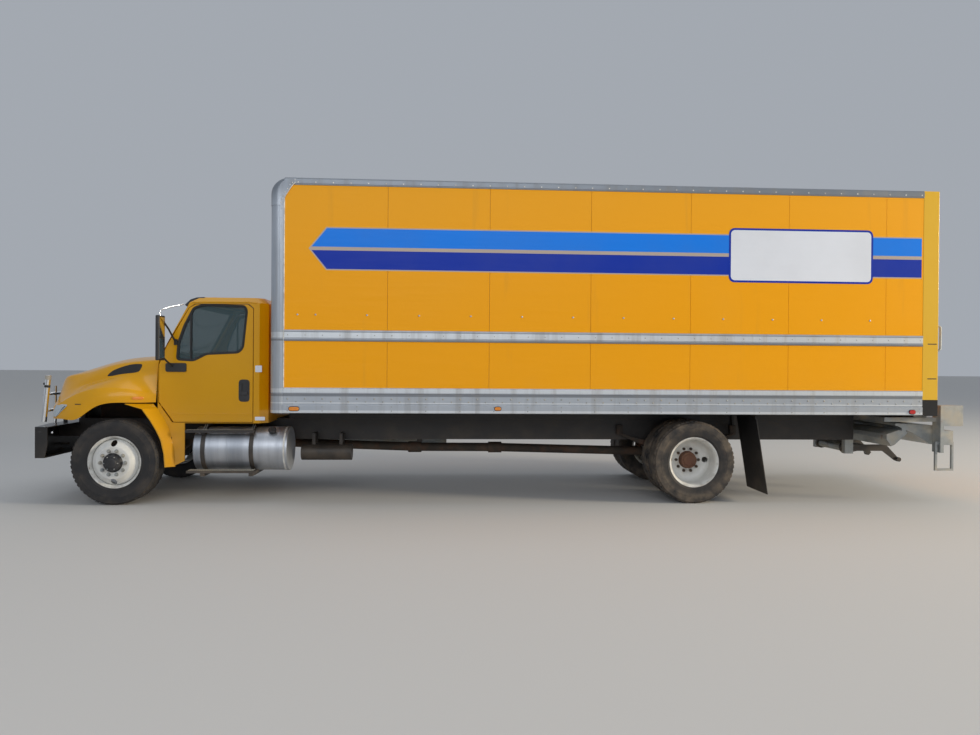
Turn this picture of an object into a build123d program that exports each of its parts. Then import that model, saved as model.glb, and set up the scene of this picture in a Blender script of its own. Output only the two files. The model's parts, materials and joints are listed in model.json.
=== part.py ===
from build123d import *
import os
from math import cos, pi, radians, sin

# A conventional-cab box truck with a forward-tilting hood and a stowed fold-under liftgate.
# Millimetres. The truck faces -X, its left side is -Y and +Z is up.
# Lengths along X are measured from the front axle, heights from the ground.
# The finished pieces are moved so that the origin is under the middle of the truck.

os.makedirs("parts", exist_ok=True)

# Wheels and axles
wheelbase = 6937
tyre_radius = 505
tyre_width = 280
tyre_sides = 48
tread_half_width = 112
shoulder_radius = 478
bead_seat_radius = 285
bead_half_width = 104
bead_fit = 0.3
flange_radius = 300
flange_thickness = 14
rim_inner_radius = 275
disc_thickness = 12
disc_flat_radius = 188
front_wheel_y = 1050
front_disc_offset = 148
kingpin_y = 870
kingpin_radius = 24
kingpin_fit = 0.5
dual_y = 912
dual_offset = 168
hub_radius = 112
hub_reach = 60
axle_flange_radius = 100
axle_flange_reach = 110
drum_radius = 205
spindle_radius = 44
spindle_fit = 0.6
hand_hole_radius = 26
hand_hole_circle = 222

# Frame
rail_outer_y = 432
rail_flange = 80
rail_web = 10
rail_bottom = 707
rail_top = 970
rail_front = -760
front_pad_z = 425
rail_rear = 9385
cross_member_bottom = 743
cross_member_width = 70
carrier_station = 3500
carrier_bottom = 560 + 74
cross_member_stations = [-640, 1250, 2350, 3500, 4640, 5900, 7750, 9200]
flap_behind_axle = 763
flap_outer_y = 1215

engine_rear = 380
engine_half_width = 290

# Cab
cab_front = 430
cab_rear = 1720
cab_half_width = 1000
cab_floor = 955
belt_z = 1790
eave_z = 2410
roof_z = 2478
cab_wall = 45
pane_thickness = 6
glass_fit = 0.3
cab_mount_height = 5
cab_mount_stations = [560, 1560]
windshield_bow = 85
screen_bottom = 1810
screen_top = 2395
screen_half_width = 860
rear_window_half_width = 500
rear_window_bottom = 1850
rear_window_top = 2260
screen_base_x = 470
screen_top_x = 800
door_thickness = 44
door_gap = 8
door_front = 436
door_rear = 1560
door_hinge_inset = 24
door_slant_gap = 17
door_hinge_depth = 8
door_pin_radius = 5
door_pin_fit = 0.3
door_pin_depth = 60

# Hood
hood_rear = 412
hood_wall = 12
nose_x = -960
hood_bottom = 1005
hood_pivot_x = -930
hood_pivot_z = 955
hood_pin_radius = 8
hood_pin_fit = 0.4
hood_lug_y = 398
hood_lug_thickness = 12
hood_lug_radius = 18

# Bumper and guard
bumper_front = -1020
bumper_end_x = -900
bumper_half_width = 1180
bumper_bottom = 555
bumper_top = 920
bumper_plate = 12
guard_pivot_x = -1045
guard_pivot_z = 900
guard_tube = 22
guard_post_y = 450
guard_ear_y = 478
guard_pin_radius = 9
guard_pin_fit = 0.4
guard_eye_radius = 16

# Box body
box_front = 1811
box_rear = 9765
box_half_width = 1295
box_bottom = 1099
box_top = 3867
box_wall = 25
post_depth = 170
box_floor_top = 1290
deck_thickness = 60
floor_beam_bottom = 1120
floor_beam_width = 60
floor_beam_half = 1240
floor_beam_first = 2050
floor_beam_pitch = 610
roof_thickness = 40
rear_frame_rear = 9965
door_panel_thickness = 38

# Rub rails of the box sides: lowest and highest point of each raised band
rub_rails = [(1105, 1200), (1330, 1395), (1950, 1975), (2060, 2080), (box_top - 82, box_top)]
rub_rail_out = 14

# Fuel tank and steps
tank_radius = 270
tank_y = 820
tank_z = 635
tank_front = 870
tank_rear = 1980
tank_fit = 0.3
strap_stations = [985, 1555]
strap_width = 50
strap_thickness = 5

# Liftgate
gate_pivot_x = 9330
gate_pivot_z = 590
gate_tube_radius = 55
gate_tube_fit = 0.5
gate_arm_y = 300
gate_arm_thickness = 40
gate_half_width = 1000
sill_half_width = 1120
sill_bottom = 1005
sill_top = 1060
step_inner_y = 1040
step_outer_y = 1200
step_front = 10075
step_rear = 10367
step_top = 1215

centre_x = (guard_pivot_x - guard_tube + step_rear) / 2


def block(x_low, x_high, y_low, y_high, z_low, z_high):
    size = (x_high - x_low, y_high - y_low, z_high - z_low)
    middle = ((x_low + x_high) / 2, (y_low + y_high) / 2, (z_low + z_high) / 2)
    return Pos(*middle) * Box(*size)


def side_plate(points, y_low, y_high):
    """A plate whose outline is given as (X, Z) points, between two Y values."""
    outline = make_face(Polyline(*points, close=True))
    return Pos(0, y_high, 0) * (Plane.XZ * extrude(outline, y_high - y_low))


def plan_plate(points, z_low, z_high):
    """A plate whose outline is given as (X, Y) points, between two heights."""
    outline = make_face(Polyline(*points, close=True))
    return Pos(0, 0, z_low) * extrude(outline, z_high - z_low)


def front_plate(points, x_low, x_high):
    """A plate whose outline is given as (Y, Z) points, between two X values."""
    outline = make_face(Polyline(*points, close=True))
    return Pos(x_low, 0, 0) * (Plane.YZ * extrude(outline, x_high - x_low))


def rod(start, end, radius):
    """A round bar from one point to another."""
    path = Vector(*end) - Vector(*start)
    at_start = Plane(origin=start, z_dir=path)
    return at_start * Cylinder(radius, path.length, align=(Align.CENTER, Align.CENTER, Align.MIN))


def wheel_ring(profile):
    """A body of revolution about Y from (radius, Y) points."""
    return revolve(make_face(Polyline(*profile, close=True)), Axis.Y)


def mirrored(shape):
    return mirror(shape, about=Plane.XZ)


def both_sides(shape):
    return shape + mirrored(shape)


def union(shapes):
    total = shapes[0]
    for shape in shapes[1:]:
        total = total + shape
    return total


# Wheels

def faceted_ring(section, sides):
    """A ring about Y with flat sides, from a closed line of (radius, Y) points."""
    corners = []
    for side in range(sides):
        turn = 2 * pi * side / sides
        corners.append([(radius * cos(turn), y, radius * sin(turn)) for radius, y in section])
    faces = []
    for here, after in zip(corners, corners[1:] + corners[:1]):
        for a, b, c, d in zip(here, here[1:] + here[:1], after[1:] + after[:1], after):
            faces.append(Face(Wire.make_polygon([a, b, c, d])))
    return Solid(Shell(faces))


def tyre():
    """A tyre with flat facets small enough that it still reads as round."""
    bore = (bead_seat_radius + bead_fit) / cos(pi / tyre_sides)
    half = tyre_width / 2
    half_section = [
        (bore, bead_half_width),
        (flange_radius + 4, bead_half_width),
        (bore + 85, half),
        (shoulder_radius - 40, half),
        (tyre_radius, tread_half_width),
    ]
    section = half_section + [(radius, -y) for radius, y in reversed(half_section)]
    return faceted_ring(section, tyre_sides)


def barrel_outside(middle, turn):
    """The outer line of a rim, from its outer lip to its inner one, as (radius, Y) points."""
    lip = bead_half_width + 2
    edge = lip + flange_thickness
    return [
        (flange_radius, middle + turn * edge),
        (flange_radius, middle + turn * lip),
        (bead_seat_radius, middle + turn * lip),
        (bead_seat_radius, middle - turn * lip),
        (flange_radius, middle - turn * lip),
        (flange_radius, middle - turn * edge),
    ]


def hand_holes(y_low, y_high, angles):
    holes = []
    for angle in angles:
        x = hand_hole_circle * cos(radians(angle))
        z = hand_hole_circle * sin(radians(angle))
        holes.append(rod((x, y_low, z), (x, y_high, z), hand_hole_radius))
    return union(holes)


def front_rim():
    """Rim, disc, hub and brake drum of a front wheel, its outer side towards +Y."""
    edge = bead_half_width + 2 + flange_thickness
    disc = front_disc_offset
    bore = spindle_radius + spindle_fit
    section = [(0, disc + 75), (0, disc + 92), (60, disc + 92), (85, disc + 60)]
    section += [(hub_radius, disc + 50), (hub_radius, disc + disc_thickness)]
    section += [(disc_flat_radius, disc + disc_thickness), (rim_inner_radius, 78)]
    section += [(rim_inner_radius, edge)]
    section += barrel_outside(0, 1)
    section += [(rim_inner_radius, -edge), (rim_inner_radius, 62), (disc_flat_radius - 4, disc)]
    section += [(hub_radius, disc), (hub_radius, -10), (drum_radius, -10)]
    section += [(drum_radius, -105), (bore, -105), (bore, disc + 75)]
    return wheel_ring(section) - hand_holes(20, disc + 40, [90, 270])


def rear_rims():
    """Both rims of a rear pair with their hub and drum, the outer side towards +Y."""
    edge = bead_half_width + 2 + flange_thickness
    outer = dual_offset
    inner = -dual_offset
    near_gap = outer - edge
    bore = spindle_radius + spindle_fit
    section = [(0, hub_reach), (0, axle_flange_reach), (axle_flange_radius - 12, axle_flange_reach)]
    section += [(axle_flange_radius, axle_flange_reach - 12), (axle_flange_radius, disc_thickness)]
    section += [(disc_flat_radius, disc_thickness), (rim_inner_radius, 72)]
    section += [(rim_inner_radius, outer + edge)]
    section += barrel_outside(outer, 1)
    section += [(rim_inner_radius - 3, near_gap), (disc_flat_radius + 6, 0), (rim_inner_radius - 3, -near_gap)]
    section += barrel_outside(inner, 1)
    section += [(rim_inner_radius, inner - edge), (rim_inner_radius, -72)]
    section += [(disc_flat_radius, -disc_thickness), (hub_radius, -disc_thickness), (hub_radius, -60)]
    section += [(drum_radius, -60), (drum_radius, -230), (bore, -230), (bore, hub_reach)]
    return wheel_ring(section) - hand_holes(-90, 90, [0, 180])


def at_wheel(shape, x, y):
    return Pos(x, y, tyre_radius) * shape


def front_wheel_parts():
    return at_wheel(tyre(), 0, front_wheel_y), at_wheel(front_rim(), 0, front_wheel_y)


def rear_wheel_parts():
    outer = at_wheel(tyre(), wheelbase, dual_y + dual_offset)
    inner = at_wheel(tyre(), wheelbase, dual_y - dual_offset)
    return Compound([outer, inner]), at_wheel(rear_rims(), wheelbase, dual_y)


# Axles, springs and frame

def knuckle():
    """Steering knuckle of the right side: fork, kingpin, spindle and steering arm."""
    eye_half = 55
    gap = 1
    plate = 26
    fork_top = tyre_radius + eye_half + gap
    fork_bottom = tyre_radius - eye_half - gap
    reach = kingpin_y + 52
    top = rod((0, kingpin_y, fork_top), (0, kingpin_y, fork_top + plate), 46)
    top = top + block(-46, 46, kingpin_y, reach + 14, fork_top, fork_top + plate)
    low = rod((0, kingpin_y, fork_bottom - plate), (0, kingpin_y, fork_bottom), 46)
    low = low + block(-46, 46, kingpin_y, reach + 14, fork_bottom - plate, fork_bottom)
    back = block(-50, 50, reach, reach + 14, fork_bottom - plate, fork_top + plate)
    pin = rod((0, kingpin_y, fork_bottom - plate), (0, kingpin_y, fork_top + plate), kingpin_radius)
    tip = front_wheel_y + front_disc_offset + 60
    spindle = rod((0, reach, tyre_radius), (0, tip, tyre_radius), spindle_radius)
    arm = block(20, 200, kingpin_y - 20, kingpin_y + 10, fork_bottom - plate, fork_bottom)
    return top + low + back + pin + spindle + arm


def front_axle():
    """A dropped beam with an eye at each end for the kingpin."""
    eye_half = 55
    pad_z = front_pad_z
    outline = [
        (0, pad_z - 85), (430, pad_z - 85), (560, pad_z - 60), (790, 450), (830, 450),
        (830, 556), (780, 556), (560, pad_z + 20), (450, pad_z), (0, pad_z),
    ]
    half = front_plate(outline, -40, 40)
    eye = rod((0, kingpin_y, tyre_radius - eye_half), (0, kingpin_y, tyre_radius + eye_half), 44)
    hole = rod((0, kingpin_y, 300), (0, kingpin_y, 700), kingpin_radius + kingpin_fit)
    return both_sides(half + eye - hole)


def rear_axle():
    tube = rod((wheelbase, 0, tyre_radius), (wheelbase, dual_y - 236, tyre_radius), 68)
    spindle = rod((wheelbase, 0, tyre_radius), (wheelbase, dual_y + hub_reach - 2, tyre_radius), spindle_radius)
    ball = Pos(wheelbase, 0, tyre_radius) * Sphere(190)
    ball = ball & block(wheelbase - 200, wheelbase + 150, -150, 150, 300, 710)
    nose = rod((wheelbase - 330, 0, tyre_radius), (wheelbase - 100, 0, tyre_radius), 85)
    return both_sides(tube + spindle) + ball + nose


def spring_pack(x_middle, half_length, z_middle, z_end, y_low, y_high, depth):
    """A stack of leaves, thin at its ends, in an upward bow."""
    top = ThreePointArc((x_middle - half_length, z_end), (x_middle, z_middle + depth), (x_middle + half_length, z_end))
    low = ThreePointArc((x_middle + half_length, z_end - 14), (x_middle, z_middle), (x_middle - half_length, z_end - 14))
    ends = [Line(top @ 1, low @ 0), Line(low @ 1, top @ 0)]
    face = make_face([top, low] + ends)
    return Pos(0, y_high, 0) * (Plane.XZ * extrude(face, y_high - y_low))


def leaf_springs():
    front = spring_pack(0, 650, front_pad_z + 2, 660, 356, 436, 70)
    seat = block(-60, 60, 356, 436, front_pad_z, front_pad_z + 40)
    front_hanger = block(-690, -610, 372, 420, 640, 707)
    front_shackle = block(610, 690, 372, 420, 640, 707)
    axle_top = tyre_radius + 70
    rear = spring_pack(wheelbase, 760, axle_top, 800, 446, 530, 90)
    hanger = block(wheelbase - 800, wheelbase - 720, rail_outer_y, 500, 780, 900)
    shackle = block(wheelbase + 720, wheelbase + 800, rail_outer_y, 500, 780, 900)
    clamp = block(wheelbase - 70, wheelbase + 70, 440, 536, axle_top - 2, axle_top + 110)
    return both_sides(union([front, seat, front_hanger, front_shackle, rear, hanger, shackle, clamp]))


def frame():
    web = block(rail_front, rail_rear, rail_outer_y - rail_web, rail_outer_y, rail_bottom, rail_top)
    flange_y = rail_outer_y - rail_flange
    low = block(rail_front, rail_rear, flange_y, rail_outer_y, rail_bottom, rail_bottom + rail_web)
    top = block(rail_front, rail_rear, flange_y, rail_outer_y, rail_top - rail_web, rail_top)
    rail = web + low + top
    for x in cab_mount_stations:
        rail = rail + block(x, x + 80, 360, 430, rail_top, rail_top + cab_mount_height)
    horn_front = bumper_front + bumper_plate
    rail = rail + block(horn_front, rail_front + 60, rail_outer_y - 46, rail_outer_y - rail_web, 740, 900)
    return both_sides(rail)


def frame_members():
    """Cross members between the rails, the shaft carrier under one of them, and the deck's long sills."""
    inner = rail_outer_y - rail_web
    solids = []
    for x in cross_member_stations:
        member = block(x, x + cross_member_width, -inner, inner, cross_member_bottom, cross_member_bottom + 60)
        if x == carrier_station:
            member = member + block(x, x + cross_member_width, -60, 60, carrier_bottom, cross_member_bottom)
        solids.append(member)
    for side in [-1, 1]:
        y_low, y_high = sorted([side * (rail_outer_y - rail_flange), side * rail_outer_y])
        solids.append(block(box_front + 60, rail_rear, y_low, y_high, rail_top, floor_beam_bottom))
    return Compound(solids)


def engine():
    body = block(-560, engine_rear, -engine_half_width, engine_half_width, 600, 1290)
    foot = block(-200, -120, engine_half_width, rail_outer_y - rail_web, rail_bottom + rail_web, rail_bottom + 50)
    return body + both_sides(foot)


def driveline():
    gearbox = side_plate([(engine_rear, 640), (engine_rear, 940), (700, 900), (1100, 760), (1100, 560), (700, 560)], -150, 150)
    shaft_radius = 58
    yoke_radius = 74
    joints = [(1100, 640), (3470, 560), (4560, 556), (wheelbase - 332, tyre_radius)]
    shafts = []
    for (x_low, z_low), (x_high, z_high) in zip(joints, joints[1:]):
        shafts.append(rod((x_low, 0, z_low), (x_high, 0, z_high), shaft_radius))
    for x, z in joints[1:3]:
        shafts.append(rod((x - 90, 0, z), (x + 90, 0, z), yoke_radius))
    return union([gearbox] + shafts)


def radiator():
    core = block(-755, -675, -345, 345, 780, 1380)
    feet = block(-750, -690, 345, 420, rail_top, rail_top + 60)
    return core + both_sides(feet)


# Fuel tank, steps, exhaust and other chassis pieces

def fuel_tank():
    return rod((tank_front, -tank_y, tank_z), (tank_rear, -tank_y, tank_z), tank_radius)


def tank_mounts():
    """Straps, brackets and steps of the tank, on the left rail."""
    bracket_top = rail_top - 60
    low = tank_z - tank_radius - 40
    pieces = []
    for x in strap_stations:
        x_low = x - strap_width / 2
        x_high = x + strap_width / 2
        strap = rod((x_low, -tank_y, tank_z), (x_high, -tank_y, tank_z), tank_radius + tank_fit + strap_thickness)
        bracket = front_plate([
            (-rail_outer_y, bracket_top), (-rail_outer_y, 720), (-rail_outer_y - 60, low), (-1090, low),
            (-1090, low + 39), (-700, low + 39), (-tank_y + 290, tank_z), (-620, bracket_top),
        ], x_low, x_high)
        arm = front_plate([(-1085, 880), (-1085, 846), (-1020, 790), (-960, 800), (-900, 880)], x_low, x_high)
        pieces.append(strap + bracket + arm)
    upper = block(780, 1590, -1085, -1005, 846, 880)
    lower = block(800, 1620, -1100, -960, tank_z - tank_radius - 1, tank_z - tank_radius + 28)
    tank_space = rod((0, -tank_y, tank_z), (3000, -tank_y, tank_z), tank_radius + tank_fit)
    return union(pieces) + upper + lower - tank_space


def battery_box():
    body = block(900, 1560, 560, 1060, 560, 860)
    bracket = block(1100, 1360, rail_outer_y, 570, 720, 860)
    step = block(860, 1600, 960, 1080, 400, 425)
    hanger = block(900, 930, 980, 1060, 420, 565) + block(1530, 1560, 980, 1060, 420, 565)
    return body + bracket + step + hanger


def air_tank():
    body = rod((2070, -600, 560), (2700, -600, 560), 100)
    bracket = block(2200, 2240, -620, -rail_outer_y, 560, 800) + block(2540, 2580, -620, -rail_outer_y, 560, 800)
    return body + bracket


def exhaust():
    muffler = rod((2050, 640, 600), (3150, 640, 600), 130)
    tail = rod((3100, 640, 600), (3900, 640, 600), 55)
    lead = rod((1750, 640, 600), (2100, 640, 600), 50)
    hanger = block(2300, 2340, rail_outer_y, 640, 690, 760) + block(2900, 2940, rail_outer_y, 640, 690, 760)
    return muffler + tail + lead + hanger


def mud_flaps():
    x = wheelbase + flap_behind_axle
    flap = side_plate([(x, 1060), (x + 12, 1060), (x + 162, 110), (x + 150, 110)], 600, flap_outer_y)
    hanger = block(x - 10, x + 22, rail_outer_y, flap_outer_y, 1040, 1085)
    hanger = hanger + block(x - 10, x + 22, rail_outer_y, rail_outer_y + 40, 900, 1040)
    return both_sides(flap + hanger)


# Bumper and guard

def bumper_line(inset):
    """Plan outline of the bumper's front face, from left end to right end."""
    middle = 620
    return [
        (bumper_end_x + inset, -bumper_half_width + inset),
        (bumper_front + inset, -middle),
        (bumper_front + inset, middle),
        (bumper_end_x + inset, bumper_half_width - inset),
    ]


def front_bumper():
    back = -760
    outer = plan_plate(bumper_line(0) + [(back, bumper_half_width), (back, -bumper_half_width)], bumper_bottom, bumper_top)
    side = [(-1100, bumper_top), (-1100, 740), (-1040, 555), (-790, 555), (-745, 800), (-740, bumper_top)]
    outer = outer & side_plate(side, -bumper_half_width, bumper_half_width)
    hollow = plan_plate(
        bumper_line(bumper_plate) + [(0, bumper_half_width - bumper_plate), (0, -bumper_half_width + bumper_plate)],
        bumper_bottom + bumper_plate, bumper_top - bumper_plate)
    bracket_y = hood_lug_y + hood_lug_thickness + 6
    bracket = block(hood_pivot_x - 24, hood_pivot_x + 24, bracket_y, bracket_y + 16, bumper_top - 4, hood_pivot_z + 16)
    pin = rod((hood_pivot_x, hood_lug_y - 6, hood_pivot_z), (hood_pivot_x, bracket_y + 2, hood_pivot_z), hood_pin_radius)
    ear = block(guard_pivot_x - 20, bumper_front + 4, guard_ear_y, guard_ear_y + 12, guard_pivot_z - 30, guard_pivot_z + 14)
    guard_pin = rod((guard_pivot_x, guard_ear_y - 40, guard_pivot_z), (guard_pivot_x, guard_ear_y + 6, guard_pivot_z), guard_pin_radius)
    return outer - hollow + both_sides(bracket + pin + ear + guard_pin)


def mitred_tube(points, radius):
    """A round tube along straight runs that meet in mitred corners."""
    path = Polyline(*points)
    section = Plane(origin=path @ 0, z_dir=path % 0) * Circle(radius)
    return sweep(section, path=path, transition=Transition.RIGHT)


def grille_guard():
    """Bent tubes that stand on the bumper: two cross tubes, two inner and two outer uprights."""
    wing_x = -940
    wing_y = 900
    pieces = []
    for z in [1080, 1280]:
        line = [(wing_x, -wing_y, z), (guard_pivot_x, -560, z), (guard_pivot_x, 560, z), (wing_x, wing_y, z)]
        pieces.append(mitred_tube(line, guard_tube))
    for side in [-1, 1]:
        foot = (guard_pivot_x, side * guard_post_y, guard_pivot_z)
        pieces.append(rod(foot, (guard_pivot_x, side * guard_post_y, 1380), guard_tube - 3))
        eye = [(guard_pivot_x, side * (guard_post_y + reach), guard_pivot_z) for reach in (-22, 22)]
        pieces.append(rod(eye[0], eye[1], guard_eye_radius))
        pieces.append(rod((wing_x - 4, side * wing_y, 960), (wing_x + 45, side * wing_y, 1520), guard_tube + 8))
    hole_radius = guard_pin_radius + guard_pin_fit
    hole = rod((guard_pivot_x, 420, guard_pivot_z), (guard_pivot_x, 480, guard_pivot_z), hole_radius)
    return union(pieces) - hole - mirrored(hole)


# Hood

def hood_solid(inset, low):
    """The hood's outer form, or its inside when inset is the wall."""
    rear = hood_rear + (100 if inset else 0)
    crown = [
        (nose_x + 6 + inset, low), (nose_x + inset, 1230), (nose_x + 15 + inset, 1340), (-912 + inset, 1436 - inset / 2),
        (-870 + inset / 2, 1492 - inset), (-742, 1560 - inset), (-426, 1660 - inset), (-110, 1735 - inset),
        (60, 1762 - inset), (rear, 1770 - inset), (rear, low),
    ]
    top_half = 860
    bonnet = side_plate(crown, -top_half, top_half)
    plan = [
        (nose_x + inset, -470), (-940 + inset, -560 + inset), (-850 + inset, -700 + inset), (rear, -965 + inset),
        (rear, 965 - inset), (-850 + inset, 700 - inset), (-940 + inset, 560 - inset), (nose_x + inset, 470),
    ]
    bonnet = bonnet & plan_plate(plan, low, 1900)
    fender_side = [
        (-800 + inset, low), (-785 + inset, 1060), (-770 + inset, 1100 - inset / 2), (-720 + inset, 1180 - inset), (-660, 1240 - inset),
        (-500, 1335 - inset), (-200, 1440 - inset), (200, 1540 - inset), (rear, 1590 - inset), (rear, low),
    ]
    fender_plan = [
        (-900 + inset, -700), (-830 + inset, -880 + inset), (-760 + inset, -1010 + inset), (-600, -1110 + inset),
        (-430, -1165 + inset), (60, -1165 + inset), (260, -1090 + inset), (rear, -1010 + inset),
    ]
    fender_plan = fender_plan + [(x, -y) for x, y in reversed(fender_plan)]
    fenders = side_plate(fender_side, -1200, 1200) & plan_plate(fender_plan, low, 1900)
    return bonnet + fenders


def hood():
    shell = hood_solid(0, hood_bottom) - hood_solid(hood_wall, hood_bottom - 200)
    arch = [(-470, 900), (-440, 1013), (-271, 1141), (-74, 1204), (600, 1208), (600, 900)]
    shell = shell - side_plate(arch, -1300, 1300)
    grille_opening = front_plate([(-470, 1050), (-440, 1370), (440, 1370), (470, 1050)], nose_x - 50, nose_x + 100)
    shell = shell - grille_opening - headlamps()
    lug_end = hood_lug_y + hood_lug_thickness
    lug = rod((hood_pivot_x, hood_lug_y, hood_pivot_z), (hood_pivot_x, lug_end, hood_pivot_z), hood_lug_radius)
    lug = lug + block(nose_x + 6, hood_pivot_x + hood_lug_radius, hood_lug_y, lug_end, hood_pivot_z, hood_bottom + 40)
    hole = rod((hood_pivot_x, 0, hood_pivot_z), (hood_pivot_x, 600, hood_pivot_z), hood_pin_radius + hood_pin_fit)
    lug = lug - block(nose_x - 40, nose_x + 6, 0, 600, 900, hood_bottom)
    return shell + both_sides(lug - hole)


def grille():
    """Slats in a frame, set in the nose opening."""
    fit = glass_fit
    frame_points = [(-470 + fit, 1050 + fit), (-440 + fit, 1370 - fit), (440 - fit, 1370 - fit), (470 - fit, 1050 + fit)]
    hole_points = [(-440, 1078), (-415, 1345), (415, 1345), (440, 1078)]
    outer = front_plate(frame_points, nose_x + 2, nose_x + 34)
    hole = front_plate(hole_points, nose_x - 10, nose_x + 60)
    slats = [block(nose_x + 6, nose_x + 30, -430, 430, z, z + 14) for z in range(1110, 1340, 46)]
    posts = [block(nose_x + 8, nose_x + 28, y - 8, y + 8, 1070, 1352) for y in [-220, 0, 220]]
    return outer - hole + (union(slats + posts) & outer_limit(frame_points))


def outer_limit(points):
    return front_plate(points, nose_x, nose_x + 60)


def headlamps():
    lens = side_plate([(-812, 1030), (-790, 1100), (-730, 1172), (-610, 1165), (-680, 1090), (-740, 1030)], -1100, -900)
    lens = lens & plan_plate([(-840, -840), (-795, -980), (-740, -1030), (-600, -1116), (-600, -1060), (-700, -990), (-780, -840)], 1000, 1300)
    return both_sides(lens)


# Cab

def cab_plan(z, front_x, inset, bow):
    """Plan outline of the cab at a height, with a bowed front edge."""
    half = cab_half_width - inset
    rear = cab_rear - inset
    corner = 90
    front = ThreePointArc((front_x, -half), (front_x - bow, 0), (front_x, half))
    line = Polyline((front_x, half), (rear - corner, half), (rear, half - corner), (rear, -half + corner),
                    (rear - corner, -half), (front_x, -half))
    return Pos(0, 0, z) * make_face([front] + line.edges())


def cab_solid(inset):
    slant = inset * 1.2
    lower = extrude(cab_plan(cab_floor + inset, cab_front + inset, inset, 0.5), belt_z - cab_floor - inset)
    glass_house = loft([
        cab_plan(belt_z, screen_base_x + slant, inset, windshield_bow),
        cab_plan(eave_z, screen_top_x + slant, inset, windshield_bow),
    ], ruled=True)
    roof = loft([
        cab_plan(eave_z, screen_top_x + slant, inset, windshield_bow),
        cab_plan(roof_z - inset, screen_top_x + slant + 110, inset + 70, windshield_bow / 2),
    ], ruled=True)
    return lower + glass_house + roof


def door_outline(gap, slant_gap):
    """The door's outer line as (X, Z) points, drawn in by a gap that is wider at the two front slants."""
    toe_x, toe_z = 600, 962
    low_z, high_z = 1200, 1680
    shoulder_x, shoulder_z = 515, 1880
    extra = slant_gap - gap
    low_slope = (low_z - toe_z) / (toe_x - door_front)
    high_slope = (shoulder_z - high_z) / (shoulder_x - door_front)
    return [
        (door_front + gap, low_z + extra * low_slope),
        (door_front + gap, high_z - extra * high_slope),
        (shoulder_x + slant_gap, shoulder_z),
        (790 + gap, 2345),
        (862 + gap, 2395 - gap),
        (1500 - gap, 2400 - gap),
        (door_rear - gap, 2350 - gap),
        (door_rear - gap, toe_z + gap),
        (toe_x + slant_gap, toe_z + gap),
    ]


def window_outline(gap):
    return [
        (655 + gap, 1722 + gap), (850, 1712 + gap), (1000, 1792 + gap), (1380, 1812 + gap), (1432 - gap, 1870 + gap),
        (1478 - gap, 2320), (1450 - gap, 2372 - gap), (950, 2380 - gap), (850 + gap, 2345 - gap), (740 + gap, 2130), (672 + gap, 1930),
    ]


def windshield_band(z_low, z_high, half, front_shift, thickness):
    """A bowed slab parallel to the windshield, between two heights."""
    rise = z_high - z_low
    lean = (screen_top_x - screen_base_x) / (eave_z - belt_z)
    base_x = screen_base_x + (z_low - belt_z) * lean + front_shift
    top_x = screen_base_x + (z_high - belt_z) * lean + front_shift

    def slice_at(z, x):
        bow_share = 1 - (half / cab_half_width) ** 2
        side_x = x - windshield_bow * bow_share
        front = ThreePointArc((side_x, -half), (x - windshield_bow, 0), (side_x, half))
        back = ThreePointArc((side_x + thickness, half), (x - windshield_bow + thickness, 0), (side_x + thickness, -half))
        ends = [Line(front @ 1, back @ 0), Line(back @ 1, front @ 0)]
        return Pos(0, 0, z) * make_face([front, back] + ends)

    return loft([slice_at(z_low, base_x), slice_at(z_high, top_x)], ruled=True)


def cab_shell():
    shell = cab_solid(0) - cab_solid(cab_wall)
    for side in [-1, 1]:
        y_edges = sorted([side * (cab_half_width - cab_wall - 60), side * (cab_half_width + 40)])
        shell = shell - side_plate(door_outline(0, 0), *y_edges)
    shell = shell - windshield_band(screen_bottom, screen_top, screen_half_width, -80, 300)
    shell = shell + both_sides(hinge_pins(0))
    tunnel = block(cab_front - 10, cab_rear + 10, -rail_outer_y - 8, rail_outer_y + 8, cab_floor - 10, rail_top + cab_mount_height)
    return shell - tunnel - block(
        cab_rear - 120, cab_rear + 20, -rear_window_half_width, rear_window_half_width, rear_window_bottom, rear_window_top)


def cab_glass():
    fit = glass_fit
    screen = windshield_band(screen_bottom + fit, screen_top - fit, screen_half_width - fit, 14, pane_thickness)
    half = rear_window_half_width - fit
    rear = block(cab_rear - 28, cab_rear - 22, -half, half, rear_window_bottom + fit, rear_window_top - fit)
    return Compound([screen, rear])


def dashboard():
    front = cab_front + cab_wall
    return side_plate([(front, 1300), (front, 1760), (620, 1700), (700, 1560), (640, 1300)], -940, 940)


def seats():
    base = block(1080, 1560, 250, 780, cab_floor + cab_wall, 1330)
    back = side_plate([(1450, 1330), (1560, 1330), (1640, 1900), (1560, 1900)], 280, 750)
    return both_sides(base + back)


def steering_wheel():
    centre = Vector(860, -515, 1560)
    tilt = 53
    column_direction = Vector(-sin(radians(tilt)), 0, -cos(radians(tilt)))
    placed = Pos(*centre) * Rot(0, tilt, 0)
    rim_section = Pos(215, 0) * Rot(0, 0, 30) * RegularPolygon(17, 6)
    rim = placed * revolve(Plane.XZ * rim_section, Axis.Z)
    hub = placed * Cylinder(50, 30)
    spoke = placed * Box(30, 420, 16)
    column = rod(tuple(centre), tuple(centre + column_direction * 260), 26)
    return rim + hub + spoke + (column - dashboard())


def sun_visor():
    outline = [(720, 2380), (700, 2400), (800, 2470), (960, 2500), (965, 2470), (830, 2430)]
    return side_plate(outline, -960, 960) - cab_solid(0)


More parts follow.
